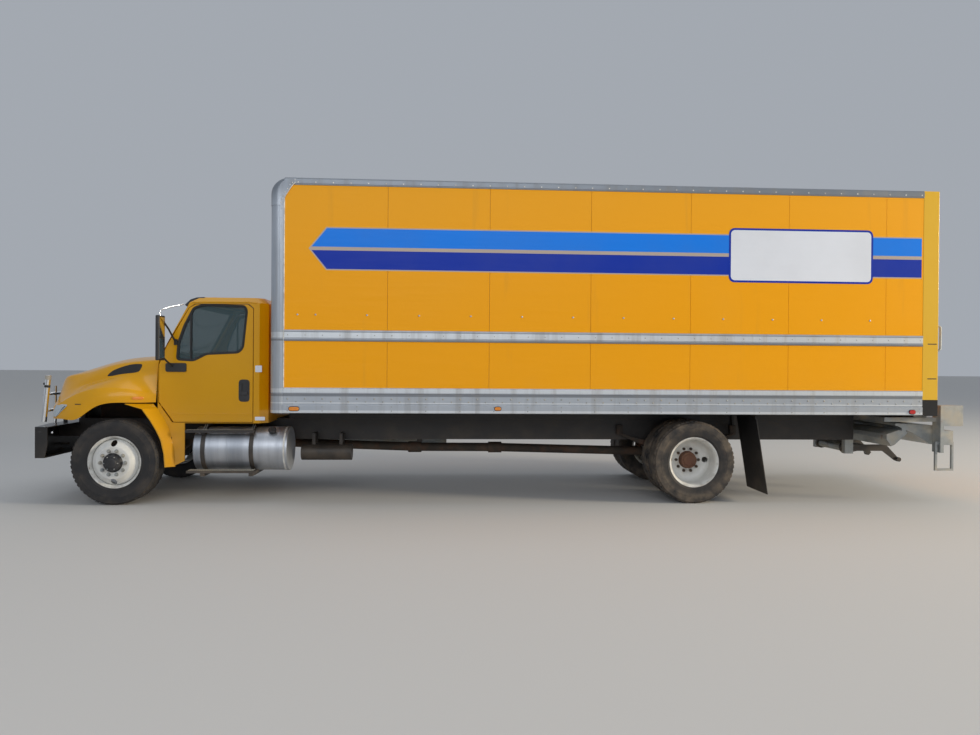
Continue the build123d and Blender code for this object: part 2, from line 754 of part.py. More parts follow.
def quarter_fenders():
    """Fixed fender pieces between the front wheels and the doors: a flare and a side panel."""
    inner_y = cab_half_width + 1
    outer_y = 1150
    # Columns: X and Z of the lip at the inner side, of the outer edge there, and of the lip at the flare
    stations = [
        (150, 1186, 380, 1186, 100, 1190),
        (330, 1130, 428, 1130, 300, 1130),
        (440, 1010, 505, 1012, 400, 990),
        (510, 900, 556, 910, 470, 870),
        (560, 780, 590, 790, 520, 760),
        (604, 620, 634, 620, 556, 600),
        (612, 430, 640, 430, 568, 440),
    ]
    inner = [(a, b) for a, b, c, d, e, f in stations] + [(c, d) for a, b, c, d, e, f in reversed(stations)]
    outer = [(e, f) for a, b, c, d, e, f in stations] + [(e + 14, f + 4) for a, b, c, d, e, f in reversed(stations)]
    near = Pos(0, inner_y, 0) * (Plane.XZ * make_face(Polyline(*inner, close=True)))
    far = Pos(0, outer_y, 0) * (Plane.XZ * make_face(Polyline(*outer, close=True)))
    flare = loft([near, far], ruled=True)
    panel = side_plate([(612, 432), (750, 500), (750, cab_floor), (560, cab_floor), (600, 780)], inner_y - 16, inner_y + 2)
    return both_sides(flare + panel)


# Doors and mirrors

def hinge_pins(fit):
    """The left door's two hinge pins, standing in the cab, or their bores when a fit is given."""
    x = door_front + door_gap + door_hinge_inset
    y = -cab_half_width + door_hinge_depth
    pins = []
    for z_post, z_tip in [(1130, 1150 + door_pin_depth), (1785, 1765 - door_pin_depth)]:
        tip = z_tip + (fit if z_tip > z_post else -fit)
        pins.append(rod((x, y, z_post), (x, y, tip), door_pin_radius + fit))
    return union(pins)


def left_door():
    y_low = -cab_half_width
    panel = side_plate(door_outline(door_gap, door_slant_gap), y_low, y_low + door_thickness)
    panel = panel - hinge_pins(door_pin_fit)
    return panel - side_plate(window_outline(0), y_low - 20, y_low + door_thickness + 20)


def left_door_glass():
    y_middle = -cab_half_width + door_thickness / 2
    return side_plate(window_outline(glass_fit), y_middle - pane_thickness / 2, y_middle + pane_thickness / 2)


def left_mirror():
    face = -cab_half_width - 0.3
    head = block(500, 590, -1400, -1180, 1720, 2280)
    upper = rod((560, -1250, 2200), (640, face - 14, 1930), 13)
    lower = rod((560, -1250, 1760), (600, face - 8, 1640), 13)
    pad = block(520, 770, face - 12, face, 1570, 1680)
    plate = block(610, 650, face - 24, face, 1890, 1960)
    return head + lower + pad + upper + plate


# Box body

def box_inner_corner():
    """The inside of the front corners: X of the front face, X and Y where the slanted face ends, half width."""
    half = box_half_width - box_wall
    return box_front + 40, box_front + 130, half - 90, half


def box_floor():
    corner_x, side_x, corner_y, half = box_inner_corner()
    deck = plan_plate([
        (corner_x, corner_y), (side_x, half), (box_rear, half),
        (box_rear, -half), (side_x, -half), (corner_x, -corner_y),
    ], box_floor_top - deck_thickness, box_floor_top)
    return deck


def floor_beams():
    """Cross beams that carry the deck on the long sills."""
    top = box_floor_top - deck_thickness
    beams = [
        block(x, x + floor_beam_width, -floor_beam_half, floor_beam_half, floor_beam_bottom, top)
        for x in range(floor_beam_first, box_rear - floor_beam_width, floor_beam_pitch)
    ]
    return Compound(beams)


def side_wall():
    panel = block(box_front + post_depth, box_rear, -box_half_width, -box_half_width + box_wall, box_bottom, box_top)
    rails = []
    for low, high in rub_rails:
        rails.append(block(box_front + post_depth, box_rear, -box_half_width - rub_rail_out, -box_half_width, low, high))
    return union([panel] + rails)


def box_front_wall():
    """Front wall with its rounded corner posts."""
    corner = 110
    half = box_half_width + rub_rail_out
    outline = [
        (box_front + post_depth, -half), (box_front + corner, -half), (box_front + 32, -half + 32), (box_front, -half + corner),
    ]
    outline = outline + [(x, -y) for x, y in reversed(outline)]
    corner_x, side_x, corner_y, inner_half = box_inner_corner()
    inner = [(box_front + post_depth + 100, -inner_half), (side_x, -inner_half), (corner_x, -corner_y)]
    inner = inner + [(x, -y) for x, y in reversed(inner)]
    shell = plan_plate(outline, box_bottom, box_top)
    shell = shell - plan_plate(inner, box_bottom - 10, box_top - roof_thickness)
    cap = side_plate([
        (box_front - 10, box_top + 10), (box_front - 10, 3600), (box_front + 45, 3770), (box_front + 160, box_top),
        (box_front + 200, box_top + 10),
    ], -1400, 1400)
    return shell - cap


def box_roof():
    half = box_half_width - box_wall
    return block(box_front + post_depth, box_rear, -half, half, box_top - roof_thickness, box_top - 2)


def rear_frame():
    outer = block(box_rear, rear_frame_rear, -1300, 1300, box_bottom - 9, box_top)
    opening = block(box_rear - 10, rear_frame_rear + 10, -1180, 1180, box_floor_top, 3620)
    return outer - opening


def rollup_door():
    panels = []
    height = (3620 - box_floor_top - 1) / 6
    for row in range(6):
        low = box_floor_top + row * height
        panels.append(block(9840, 9840 + door_panel_thickness, -1179, 1179, low, low + height - 6))
    spine = block(9856, 9862, -1170, 1170, box_floor_top, 3618)
    return union(panels + [spine])


# Liftgate

def liftgate_frame():
    """Torsion tube on hangers, extension plate under the sill, and a dock bumper step at each side."""
    sill = block(rail_rear + 10, 10095, -sill_half_width, sill_half_width, sill_bottom, sill_top)
    seat = block(box_rear + 20, rear_frame_rear - 5, -sill_half_width + 20, sill_half_width - 20, sill_top, 1090)
    tube = rod((gate_pivot_x, -420, gate_pivot_z), (gate_pivot_x, 420, gate_pivot_z), gate_tube_radius)
    hanger_y = gate_arm_y + gate_arm_thickness + 8
    hanger = block(gate_pivot_x - 60, rail_rear, hanger_y, rail_outer_y, gate_pivot_z - 70, rail_bottom)
    leg = block(9340, rail_rear, rail_outer_y, rail_outer_y + 60, gate_pivot_z - 70, 740)
    upright = block(step_front, step_front + 45, step_inner_y, step_outer_y, 622, step_top)
    panel = block(step_front, step_rear, step_outer_y - 8, step_outer_y, 958, step_top)
    tread = block(step_front, step_rear, step_inner_y, step_outer_y, step_top - 30, step_top)
    back = block(step_rear - 40, step_rear, step_inner_y, step_outer_y, 958, step_top)
    web = block(step_front, step_rear - 128, step_inner_y, step_outer_y, 800, 900)
    bar = block(step_front, step_rear - 128, step_inner_y, step_outer_y, 721, 800)
    loop_width = 238
    loop_x = step_front - 45
    loop = block(loop_x, loop_x + loop_width, step_outer_y - 60, step_outer_y - 30, 395, 760)
    loop = loop - block(loop_x + 26, loop_x + loop_width - 26, 1000, 1300, 421, 725)
    side = upright + panel + tread + back + web + bar + loop
    return sill + seat + tube + both_sides(hanger + side)


def liftgate_arms():
    """Lift arms with the opener leg and its roller."""
    bore = gate_tube_radius + gate_tube_fit
    arm_end = gate_arm_y + gate_arm_thickness
    arm = side_plate([
        (gate_pivot_x, 650), (9500, 628), (9900, 632), (10075, 450), (10040, 410), (9860, 545), (9500, 545), (gate_pivot_x, 515),
    ], gate_arm_y, arm_end)
    collar = rod((gate_pivot_x, gate_arm_y, gate_pivot_z), (gate_pivot_x, arm_end, gate_pivot_z), gate_tube_radius + 20)
    hole = rod((gate_pivot_x, 0, gate_pivot_z), (gate_pivot_x, 700, gate_pivot_z), bore)
    roller = rod((10050, arm_end, 435), (10050, arm_end + 60, 435), 30)
    post = side_plate([(9780, 600), (9880, 600), (10119, 709), (10085, 709)], gate_arm_y, arm_end)
    cross = block(9620, 9680, -gate_arm_y, gate_arm_y, 550, 620)
    return both_sides(arm + collar - hole + roller + post) + cross


def liftgate_platform():
    """Folded platform: the main section over the flip section."""
    main = [(9613, 947), (9613, 977), (10129, 952), (10119, 709), (10085, 709), (9866, 841), (9643, 940)]
    flip = [(9500, 775), (9500, 835), (9664, 891), (9785, 861), (9610, 702), (9562, 680)]
    link = block(9700, 9760, -gate_half_width, gate_half_width, 850, 925)
    return side_plate(main, -gate_half_width, gate_half_width) + side_plate(flip, -gate_half_width, gate_half_width) + link


def save(name, shape):
    placed = Pos(-centre_x, 0, 0) * shape
    export_step(placed, f"parts/{name}.step")
    print(name, len(placed.solids()))


front_tyre, front_rim_right = front_wheel_parts()
rear_tyres, rear_rims_right = rear_wheel_parts()
knuckle_right = knuckle()

pieces = {
    "frame": frame(),
    "frame_members": frame_members(),
    "front_bumper": front_bumper(),
    "front_axle": front_axle(),
    "rear_axle": rear_axle(),
    "leaf_springs": leaf_springs(),
    "engine": engine(),
    "driveline": driveline(),
    "radiator": radiator(),
    "fuel_tank": fuel_tank(),
    "tank_mounts": tank_mounts(),
    "battery_box": battery_box(),
    "air_tank": air_tank(),
    "exhaust": exhaust(),
    "mud_flaps": mud_flaps(),
    "cab_shell": cab_shell(),
    "cab_glass": cab_glass(),
    "dashboard": dashboard(),
    "seats": seats(),
    "steering_wheel": steering_wheel(),
    "sun_visor": sun_visor(),
    "quarter_fenders": quarter_fenders(),
    "box_floor": box_floor(),
    "floor_beams": floor_beams(),
    "box_left_wall": side_wall(),
    "box_right_wall": mirrored(side_wall()),
    "box_front_wall": box_front_wall(),
    "box_roof": box_roof(),
    "rear_frame": rear_frame(),
    "rollup_door": rollup_door(),
    "liftgate_frame": liftgate_frame(),
    "liftgate_arms": liftgate_arms(),
    "liftgate_platform": liftgate_platform(),
    "left_door": left_door(),
    "right_door": mirrored(left_door()),
    "left_door_glass": left_door_glass(),
    "right_door_glass": mirrored(left_door_glass()),
    "left_mirror": left_mirror(),
    "right_mirror": mirrored(left_mirror()),
    "hood": hood(),
    "grille": grille(),
    "headlamps": headlamps(),
    "grille_guard": grille_guard(),
    "right_knuckle": knuckle_right,
    "left_knuckle": mirrored(knuckle_right),
    "right_front_tyre": front_tyre,
    "left_front_tyre": mirrored(front_tyre),
    "right_front_rim": front_rim_right,
    "left_front_rim": mirrored(front_rim_right),
    "right_rear_tyres": rear_tyres,
    "left_rear_tyres": mirrored(rear_tyres),
    "right_rear_rims": rear_rims_right,
    "left_rear_rims": mirrored(rear_rims_right),
}

for name, shape in pieces.items():
    save(name, shape)
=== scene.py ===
# %% [markdown]
# # A box truck in paint, steel and rubber
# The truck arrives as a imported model: every plate, wheel and door already has its real size and
# place. This lesson gives it the look of a hard-worked rental truck: yellow paint, aluminium rails,
# white wheels, black rubber and a stowed liftgate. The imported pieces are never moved. A piece is
# either given a finish, or a finer mesh stands in for it in exactly the same place.

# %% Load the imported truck
import json
from contextlib import contextmanager
from math import cos, pi, radians, sin

import bmesh
import bpy
from mathutils import Matrix, Vector
from mathutils.bvhtree import BVHTree

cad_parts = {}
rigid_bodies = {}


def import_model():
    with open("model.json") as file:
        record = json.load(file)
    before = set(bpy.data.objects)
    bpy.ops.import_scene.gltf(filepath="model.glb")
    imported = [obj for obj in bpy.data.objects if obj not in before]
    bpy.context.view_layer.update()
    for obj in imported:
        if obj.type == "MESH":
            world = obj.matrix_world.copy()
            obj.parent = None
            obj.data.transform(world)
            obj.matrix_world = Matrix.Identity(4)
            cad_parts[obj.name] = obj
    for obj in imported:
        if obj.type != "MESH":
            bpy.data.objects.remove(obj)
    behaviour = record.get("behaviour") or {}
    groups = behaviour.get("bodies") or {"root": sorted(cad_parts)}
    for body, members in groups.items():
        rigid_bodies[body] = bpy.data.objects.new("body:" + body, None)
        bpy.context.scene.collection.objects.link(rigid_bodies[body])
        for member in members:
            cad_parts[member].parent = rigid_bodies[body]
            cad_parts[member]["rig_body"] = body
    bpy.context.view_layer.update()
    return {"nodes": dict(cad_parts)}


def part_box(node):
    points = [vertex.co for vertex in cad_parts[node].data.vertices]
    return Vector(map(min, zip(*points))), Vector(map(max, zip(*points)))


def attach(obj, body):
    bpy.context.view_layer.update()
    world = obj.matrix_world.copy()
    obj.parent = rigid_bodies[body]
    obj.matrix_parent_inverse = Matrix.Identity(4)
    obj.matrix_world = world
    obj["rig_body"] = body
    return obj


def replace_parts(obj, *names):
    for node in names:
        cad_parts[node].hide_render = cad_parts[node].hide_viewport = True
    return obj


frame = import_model()

# %% [markdown]
# Lengths on a truck are read from the front axle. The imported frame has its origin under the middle,
# so one small function turns a distance behind the front axle into the frame's X.

# %% Lines that the rest is measured from
front_tyre_low, front_tyre_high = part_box("left_front_tyre")
rear_tyre_low, rear_tyre_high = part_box("left_rear_tyres")
axle_x = (front_tyre_low.x + front_tyre_high.x) / 2
rear_axle_x = (rear_tyre_low.x + rear_tyre_high.x) / 2
wheel_radius = (front_tyre_high.z - front_tyre_low.z) / 2


def at(distance):
    """X in the frame of a point this far behind the front axle."""
    return axle_x + distance


def placed(points):
    """Points that start with a distance behind the axle, as points of the frame."""
    return [(at(point[0]), *point[1:]) for point in points]


def linked(name, data):
    """A new object in the scene."""
    obj = bpy.data.objects.new(name, data)
    bpy.context.scene.collection.objects.link(obj)
    return obj


def mesh_of(name, points, faces):
    mesh = bpy.data.meshes.new(name)
    mesh.from_pydata(points, [], faces)
    return mesh


print("wheelbase", round(rear_axle_x - axle_x, 3), "wheel radius", round(wheel_radius, 3))

# %% [markdown]
# The camera's place, its slight turn and its lens were fitted to the photograph. It stands at eye
# height, ten metres from the truck's middle line and a little ahead of its centre, so edges fall
# where they fell.

# %% Camera
photo_width_px = 980
focal_px = 736.83
sensor_width_mm = 36
far_limit = 300
eye = Vector((at(3.8948), -10.0753, 1.70006))
camera_yaw = 0.0587562
camera_pitch = -0.0053998
camera_roll = 0.0074178


def make_camera():
    forward = Vector((sin(camera_yaw) * cos(camera_pitch), cos(camera_yaw) * cos(camera_pitch),
                      sin(camera_pitch)))
    level_right = forward.cross(Vector((0, 0, 1))).normalized()
    level_up = level_right.cross(forward)
    right = level_right * cos(camera_roll) + level_up * sin(camera_roll)
    up = level_up * cos(camera_roll) - level_right * sin(camera_roll)
    camera = linked("photo_camera", bpy.data.cameras.new("photo_camera"))
    camera.data.sensor_width = sensor_width_mm
    camera.data.lens = sensor_width_mm * focal_px / photo_width_px
    camera.data.clip_end = far_limit
    rows = Matrix((right, up, -forward)).transposed()
    camera.matrix_world = Matrix.Translation(eye) @ rows.to_4x4()
    bpy.context.scene.camera = camera
    return camera


print("lens", round(make_camera().data.lens, 2), "mm")

# %% [markdown]
# A sheet metal truck is read by its long reflections, so the studio has few, large, soft lights: a
# warm one low behind the truck that rakes along the side as the evening sun did, a cool broad one
# from the viewer's side, and one overhead. The floor is plain and pale.

# %% Studio
floor_reach = 120
floor_colour = (0.58, 0.575, 0.56)
truck_middle = (0, 0, 1.6)


def add_floor():
    corners = [(-floor_reach, -floor_reach, 0), (floor_reach, -floor_reach, 0),
               (floor_reach, floor_reach, 0), (-floor_reach, floor_reach, 0)]
    paper = bpy.data.materials.new("studio_paper")
    paper.use_nodes = True
    shader = paper.node_tree.nodes["Principled BSDF"]
    shader.inputs["Base Color"].default_value = (*floor_colour, 1)
    shader.inputs["Roughness"].default_value = 0.9
    floor = linked("studio_floor", mesh_of("studio_floor", corners, [(0, 1, 2, 3)]))
    floor.data.materials.append(paper)


def add_softbox(name, place, target, size, power, colour):
    data = bpy.data.lights.new(name, "AREA")
    data.shape = "RECTANGLE"
    data.size, data.size_y = size
    data.energy = power
    data.color = colour
    turn = (Vector(target) - Vector(place)).to_track_quat("-Z", "Y").to_matrix().to_4x4()
    linked(name, data).matrix_world = Matrix.Translation(Vector(place)) @ turn


def set_sky(colour, strength):
    world = bpy.data.worlds.new("studio_air")
    world.use_nodes = True
    background = world.node_tree.nodes["Background"]
    background.inputs["Color"].default_value = (*colour, 1)
    background.inputs["Strength"].default_value = strength
    bpy.context.scene.world = world


add_floor()
set_sky((0.80, 0.86, 0.95), 0.46)
add_softbox("evening_light", (24, -6.5, 6.0), (-1.0, -1.0, 1.4), (4, 3), 4600, (1.0, 0.86, 0.64))
add_softbox("viewer_light", (-3, -19, 9), truck_middle, (18, 8), 900, (0.95, 0.97, 1.0))
add_softbox("top_light", (0, 0, 13), truck_middle, (16, 8), 320, (1.0, 1.0, 1.0))
bpy.context.scene.view_settings.view_transform = "Standard"

# %% [markdown]
# Every piece below is drawn with the same few moves: a box, a plate with an outline, a bent tube and
# a turned ring. A draft collects their points and faces, then becomes one mesh whose corners are
# broken by a small bevel, because no sheet metal edge is perfectly sharp and the bevel catches light.

# %% Drafting helpers
bevel_angle = radians(32)
bevel_roundness = 0.6
smooth_angle = radians(48)
weld_reach = 0.00002
straight_bend = 0.001
sharpest_mitre = 0.5


def grid_faces(rows, columns, rows_closed=False, columns_closed=True):
    """Quads of a net of points; either way it can join up with its own start."""
    faces = []
    for row in range(rows if rows_closed else rows - 1):
        here, there = row * columns, (row + 1) % rows * columns
        for column in range(columns if columns_closed else columns - 1):
            after = (column + 1) % columns
            faces.append((here + column, here + after, there + after, there + column))
    return faces


class Draft:
    """Points and faces of one piece while it is being drawn."""

    def __init__(self):
        self.points = []
        self.faces = []

    def add(self, points, faces):
        start = len(self.points)
        self.points += [tuple(point) for point in points]
        self.faces += [tuple(start + index for index in face) for face in faces]
        return self

    def add_moved(self, form, move):
        """Another draft's form, with a rule that moves each of its points."""
        return self.add([move(*point) for point in form.points], form.faces)

    def box(self, low, high):
        (x0, y0, z0), (x1, y1, z1) = low, high
        points = [(x, y, z) for x in (x0, x1) for y in (y0, y1) for z in (z0, z1)]
        faces = [(0, 1, 3, 2), (4, 6, 7, 5), (0, 4, 5, 1), (2, 3, 7, 6), (0, 2, 6, 4), (1, 5, 7, 3)]
        return self.add(points, faces)

    def prism(self, outline, axis, low, high):
        """A plate: the outline's two numbers are the other two coordinates, in X, Y, Z order."""
        count = len(outline)
        points = []
        for depth in (low, high):
            for a, b in outline:
                points.append({"x": (depth, a, b), "y": (a, depth, b), "z": (a, b, depth)}[axis])
        faces = [tuple(range(count)), tuple(range(2 * count - 1, count - 1, -1))]
        faces += [(i, (i + 1) % count, count + (i + 1) % count, count + i) for i in range(count)]
        return self.add(points, faces)

    def side_plate(self, outline, low, high):
        """A plate seen from the side; the outline starts from the front axle."""
        return self.prism(placed(outline), "y", low, high)

    def tube(self, path, radius, sides=14, closed=False):
        """A round bar along a list of points, mitred at each of them."""
        line = [Vector(point) for point in path]
        steps = [(after - before).normalized() for before, after in zip(line, line[1:] + line[:1])]
        if not closed:
            steps[-1] = steps[-2]
        start = steps[-1] if closed else steps[0]
        rings = []
        side = None
        for point, incoming, outgoing in zip(line, [start] + steps, steps):
            along = (incoming + outgoing).normalized()
            if side is None:
                helper = Vector((0, 0, 1)) if abs(along.z) < 0.9 else Vector((1, 0, 0))
                side = along.cross(helper).normalized()
            side = (side - along * side.dot(along)).normalized()
            up = along.cross(side)
            bend = outgoing - incoming
            mitre = 1 / max(incoming.dot(along), sharpest_mitre) - 1 if bend.length > straight_bend else 0
            across = bend.normalized()
            for turn in [2 * pi * spoke / sides for spoke in range(sides)]:
                arm = side * cos(turn) + up * sin(turn)
                rings.append(point + (arm + across * arm.dot(across) * mitre) * radius)
        faces = grid_faces(len(line), sides, closed)
        if not closed:
            faces += [tuple(range(sides - 1, -1, -1)), tuple(range(len(rings) - sides, len(rings)))]
        return self.add(rings, faces)

    def lathe(self, profile, centre=(0, 0, 0), sides=72, closed=False):
        """A turned piece about an axis along Y from (radius, Y) points."""
        x, y, z = centre
        turns = [2 * pi * spoke / sides for spoke in range(sides)]
        points = [(x + radius * cos(turn), y + along, z + radius * sin(turn))
                  for turn in turns for radius, along in profile]
        return self.add(points, grid_faces(sides, len(profile), True, closed))

    def mirrored(self):
        """The same piece on the other side of the truck."""
        other = Draft()
        other.points = [(x, -y, z) for x, y, z in self.points]
        other.faces = [tuple(reversed(face)) for face in self.faces]
        return other

    def both_sides(self):
        other = self.mirrored()
        return self.add(other.points, other.faces)

    def facing(self, side):
        """A piece drawn for the right side, on the side that is asked for."""
        return self.mirrored() if side < 0 else self

    def piece(self, name, finish, bevel=0.0, segments=2, body="chassis"):
        return finish_piece(mesh_of(name, self.points, self.faces), name, finish, bevel, segments, body)

    def pair(self, *how, **body):
        """One piece made of this form and its mirror image."""
        return self.both_sides().piece(*how, **body)


@contextmanager
def reshaped(mesh):
    """Opens a mesh for editing and writes it back."""
    shape = bmesh.new()
    shape.from_mesh(mesh)
    yield shape
    shape.to_mesh(mesh)
    shape.free()


def weld(shape, reach=weld_reach, recalculate=True):
    bmesh.ops.remove_doubles(shape, verts=shape.verts, dist=reach)
    if recalculate:
        bmesh.ops.recalc_face_normals(shape, faces=shape.faces)


def break_corners(shape, width, segments):
    """Bevels every edge where two faces meet at more than the bevel angle."""
    sharp = [e for e in shape.edges if len(e.link_faces) == 2 and e.calc_face_angle(0) > bevel_angle]
    bmesh.ops.bevel(shape, geom=sharp, offset=width, segments=segments, profile=bevel_roundness,
                    affect="EDGES", clamp_overlap=True)


def shade(shape):
    """Smooth faces, with the edges that are still steep kept sharp."""
    for face in shape.faces:
        face.smooth = True
    for edge in shape.edges:
        edge.smooth = not (len(edge.link_faces) == 2 and edge.calc_face_angle(0) > smooth_angle)


def wear(data, finish):
    """Gives a mesh one finish."""
    data.materials.clear()
    data.materials.append(finish[0])


def finish_piece(mesh, name, finish, bevel=0.0, segments=2, body="chassis", recalculate=True):
    """Welds, bevels and shades a mesh, and lets it ride on a body in its finish."""
    with reshaped(mesh) as shape:
        weld(shape, recalculate=recalculate)
        if bevel:
            break_corners(shape, bevel, segments)
        shade(shape)
    obj = linked(name, mesh)
    wear(mesh, finish)
    obj.modifiers.new("flat_faces_stay_flat", "WEIGHTED_NORMAL").keep_sharp = True
    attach(obj, body)
    return obj


def evaluated_mesh(carrier):
    """The plain mesh that an object's modifiers lead to."""
    evaluated = carrier.evaluated_get(bpy.context.evaluated_depsgraph_get())
    return bpy.data.meshes.new_from_object(evaluated)


def arc(centre, radius, start, end, steps):
    """Points of an arc in a plane, angles in degrees."""
    turns = [radians(start + (end - start) * step / steps) for step in range(steps + 1)]
    return [(centre[0] + radius * cos(turn), centre[1] + radius * sin(turn)) for turn in turns]


def rounded(x0, x1, z0, z1, radius, steps=5):
    """A rectangle with rounded corners."""
    corners = [((x1 - radius, z0 + radius), -90), ((x1 - radius, z1 - radius), 0),
               ((x0 + radius, z1 - radius), 90), ((x0 + radius, z0 + radius), 180)]
    return [point for centre, start in corners for point in arc(centre, radius, start, start + 90, steps)]


print("edges over", round(bevel_angle * 180 / pi), "degrees get a bevel")

# %% [markdown]
# Node trees are long to write by hand, so a socket is wrapped in a small class that understands
# arithmetic: `dust * 0.5 + rust` adds the Math nodes by itself. Everything else in a tree comes from
# one method that takes the node's type, its settings and the values or links of its sockets.

# %% Arithmetic on sockets
# The Mix node has one set of sockets for each kind of data, and these are the colour's.
mix_share, mix_first, mix_second, mix_colour = 0, 6, 7, 2


class Signal:
    """A node's output that can be used in Python arithmetic."""

    def __init__(self, wiring, socket):
        self.wiring = wiring
        self.socket = socket

    def math(self, operation, first, second=0.0, clamp=False):
        return self.wiring.node("ShaderNodeMath", {0: first, 1: second}, operation=operation,
                                use_clamp=clamp)

    def __add__(self, other):
        return self.math("ADD", self, other)

    def __sub__(self, other):
        return self.math("SUBTRACT", self, other)

    def __rsub__(self, other):
        return self.math("SUBTRACT", other, self)

    def __mul__(self, other):
        return self.math("MULTIPLY", self, other)

    __radd__ = __add__
    __rmul__ = __mul__

    def at_most(self, other):
        return self.math("MINIMUM", self, other)

    def sine(self):
        return self.math("SINE", self)

    def root(self):
        return self.math("SQRT", self)

    def clamped(self):
        return self.math("ADD", self, 0.0, clamp=True)


class Wiring:
    """A node tree under construction."""

    def __init__(self, tree):
        self.tree = tree

    def node(self, kind, inputs=None, output=0, **settings):
        made = self.tree.nodes.new(kind)
        for name, value in settings.items():
            setattr(made, name, value)
        for name, value in (inputs or {}).items():
            self.feed(made.inputs[name], value)
        return Signal(self, made.outputs[output])

    def feed(self, socket, value):
        if isinstance(value, Signal):
            self.tree.links.new(value.socket, socket)
        elif hasattr(value, "__len__") and len(value) == 3 and len(socket.default_value) == 4:
            socket.default_value = (*value, 1)
        else:
            socket.default_value = value


class Finish(Wiring):
    """One material, with the few patterns that paint and metal are made of."""

    def __init__(self, name):
        self.material = bpy.data.materials.new(name)
        self.material.use_nodes = True
        super().__init__(self.material.node_tree)
        self.shader = self.tree.nodes["Principled BSDF"]
        self.place = self.node("ShaderNodeTexCoord", output="Object")
        axes = self.tree.nodes.new("ShaderNodeSeparateXYZ")
        self.tree.links.new(self.place.socket, axes.inputs[0])
        self.x, self.y, self.z = (Signal(self, socket) for socket in axes.outputs)

    def noise(self, scale, detail=3.0, stretch=(1, 1, 1), rough=0.55):
        how = {"Vector": self.place, "Scale": stretch}
        scaled = self.node("ShaderNodeMapping", how, vector_type="POINT")
        return self.node("ShaderNodeTexNoise", {
            "Vector": scaled, "Scale": scale, "Detail": detail, "Roughness": rough})

    def ramp(self, value, low, high):
        """0 below low, 1 above high, and a smooth rise between them."""
        return self.node("ShaderNodeMapRange", {"Value": value, "From Min": low, "From Max": high},
                         interpolation_type="SMOOTHSTEP")

    def patches(self, low, high, *noise):
        """Noise made into patches: 0 where it is below low, 1 where it is above high."""
        return self.ramp(self.noise(*noise), low, high)

    def band(self, low, high, soft=0.004):
        """1 between two heights, and 0 above and below them."""
        return self.ramp(self.z, low - soft, low) * (1 - self.ramp(self.z, high, high + soft))

    def mix(self, share, first, second):
        inputs = {mix_share: share, mix_first: first, mix_second: second}
        return self.node("ShaderNodeMix", inputs, mix_colour, data_type="RGBA")

    def done(self, slot, relief=None, **looks):
        """Feeds the shader; the relief is a height, the bump's strength and its depth."""
        for name, value in looks.items():
            self.feed(self.shader.inputs[name.replace("_", " ").title().replace("Ior", "IOR")], value)
        if relief:
            height, strength, depth = relief
            made = self.node("ShaderNodeBump", {"Height": height, "Strength": strength, "Distance": depth})
            self.feed(self.shader.inputs["Normal"], made)
        return self.material, slot


# %% [markdown]
# Road dirt is the same story on every surface: thickest near the ground and broken up in patches.
# This function gives that share of dirt, and each finish decides how much of it to show.

# %% Road dirt
dust_colour = (0.22, 0.17, 0.12)
dust_floor = 0.15


def road_dust(finish, top=1.5, amount=0.5):
    """Share of dust: full at the ground, none above `top`."""
    low_down = 1 - finish.ramp(finish.z, dust_floor, top)
    patches = finish.patches(0.35, 0.75, 3.1, 6)
    return (low_down * (patches * 0.75 + 0.25) * amount).clamped()


# %% [markdown]
# The truck's yellow is a solid fleet paint under a clear coat. Two things keep it from looking like
# plastic: a faint orange-peel ripple in the gloss and dirt that settles low down. The cab's copy is
# darker than the box's, as painted shade for the shadow the wider box throws along the cab side. The
# box sheets are older and flatter, with a long ripple that runs along the truck and a chalky haze near
# the roof. The rear portal's paler copy is a painted highlight for the low sun that lights it from
# behind.

# %% Yellow paints
yellow = (0.92, 0.390, 0.001)
chalky_yellow = (0.87, 0.40, 0.022)


def cab_paint(name, low, high):
    finish = Finish(name)
    dust = road_dust(finish, 1.35, 0.55)
    clean = finish.mix(finish.noise(1.3, 4), low, high)
    return finish.done(
        "yellow_paint", (finish.noise(160, 1), 0.035, 0.001),
        base_color=finish.mix(dust, clean, (0.40, 0.25, 0.10)), coat_weight=0.35, coat_roughness=0.08,
        roughness=dust * 0.45 + finish.noise(9, 3) * 0.06 + 0.26, specular_ior_level=0.25)


def sheet_ripple(finish):
    """The long waves of a riveted sheet, with the bump's strength and depth."""
    return finish.noise(2.2, 2, (0.5, 1.0, 5.5)) * 0.8 + finish.noise(26, 2) * 0.12, 0.32, 0.010


def box_paint():
    finish = Finish("box_yellow")
    high_up = finish.ramp(finish.z, 2.6, 3.8)
    haze = (high_up * 0.45 + finish.patches(0.45, 0.8, 0.7, 5) * 0.25).clamped()
    streak = finish.patches(0.60, 0.78, 5.0, 6, (1.0, 1.0, 0.10)) * 0.16
    soiled = finish.mix(streak, finish.mix(haze, yellow, chalky_yellow), (0.36, 0.20, 0.05))
    return finish.done(
        "yellow_paint", sheet_ripple(finish), specular_ior_level=0.22,
        base_color=finish.mix(road_dust(finish, 1.9, 0.22), soiled, (0.42, 0.28, 0.13)),
        roughness=haze * 0.2 + finish.noise(4, 4) * 0.10 + 0.36)


# Painted shade: the cab's yellow is darker than the box's, for the shadow the box casts on the cab.
cab_yellow = cab_paint("cab_yellow", (0.67, 0.315, 0.001), (0.76, 0.375, 0.001))
# Painted highlight: a paler copy of the same yellow, for the low sun that strikes the rear frame.
portal_yellow = cab_paint("portal_yellow", (0.74, 0.43, 0.030), (0.80, 0.49, 0.045))
box_yellow = box_paint()
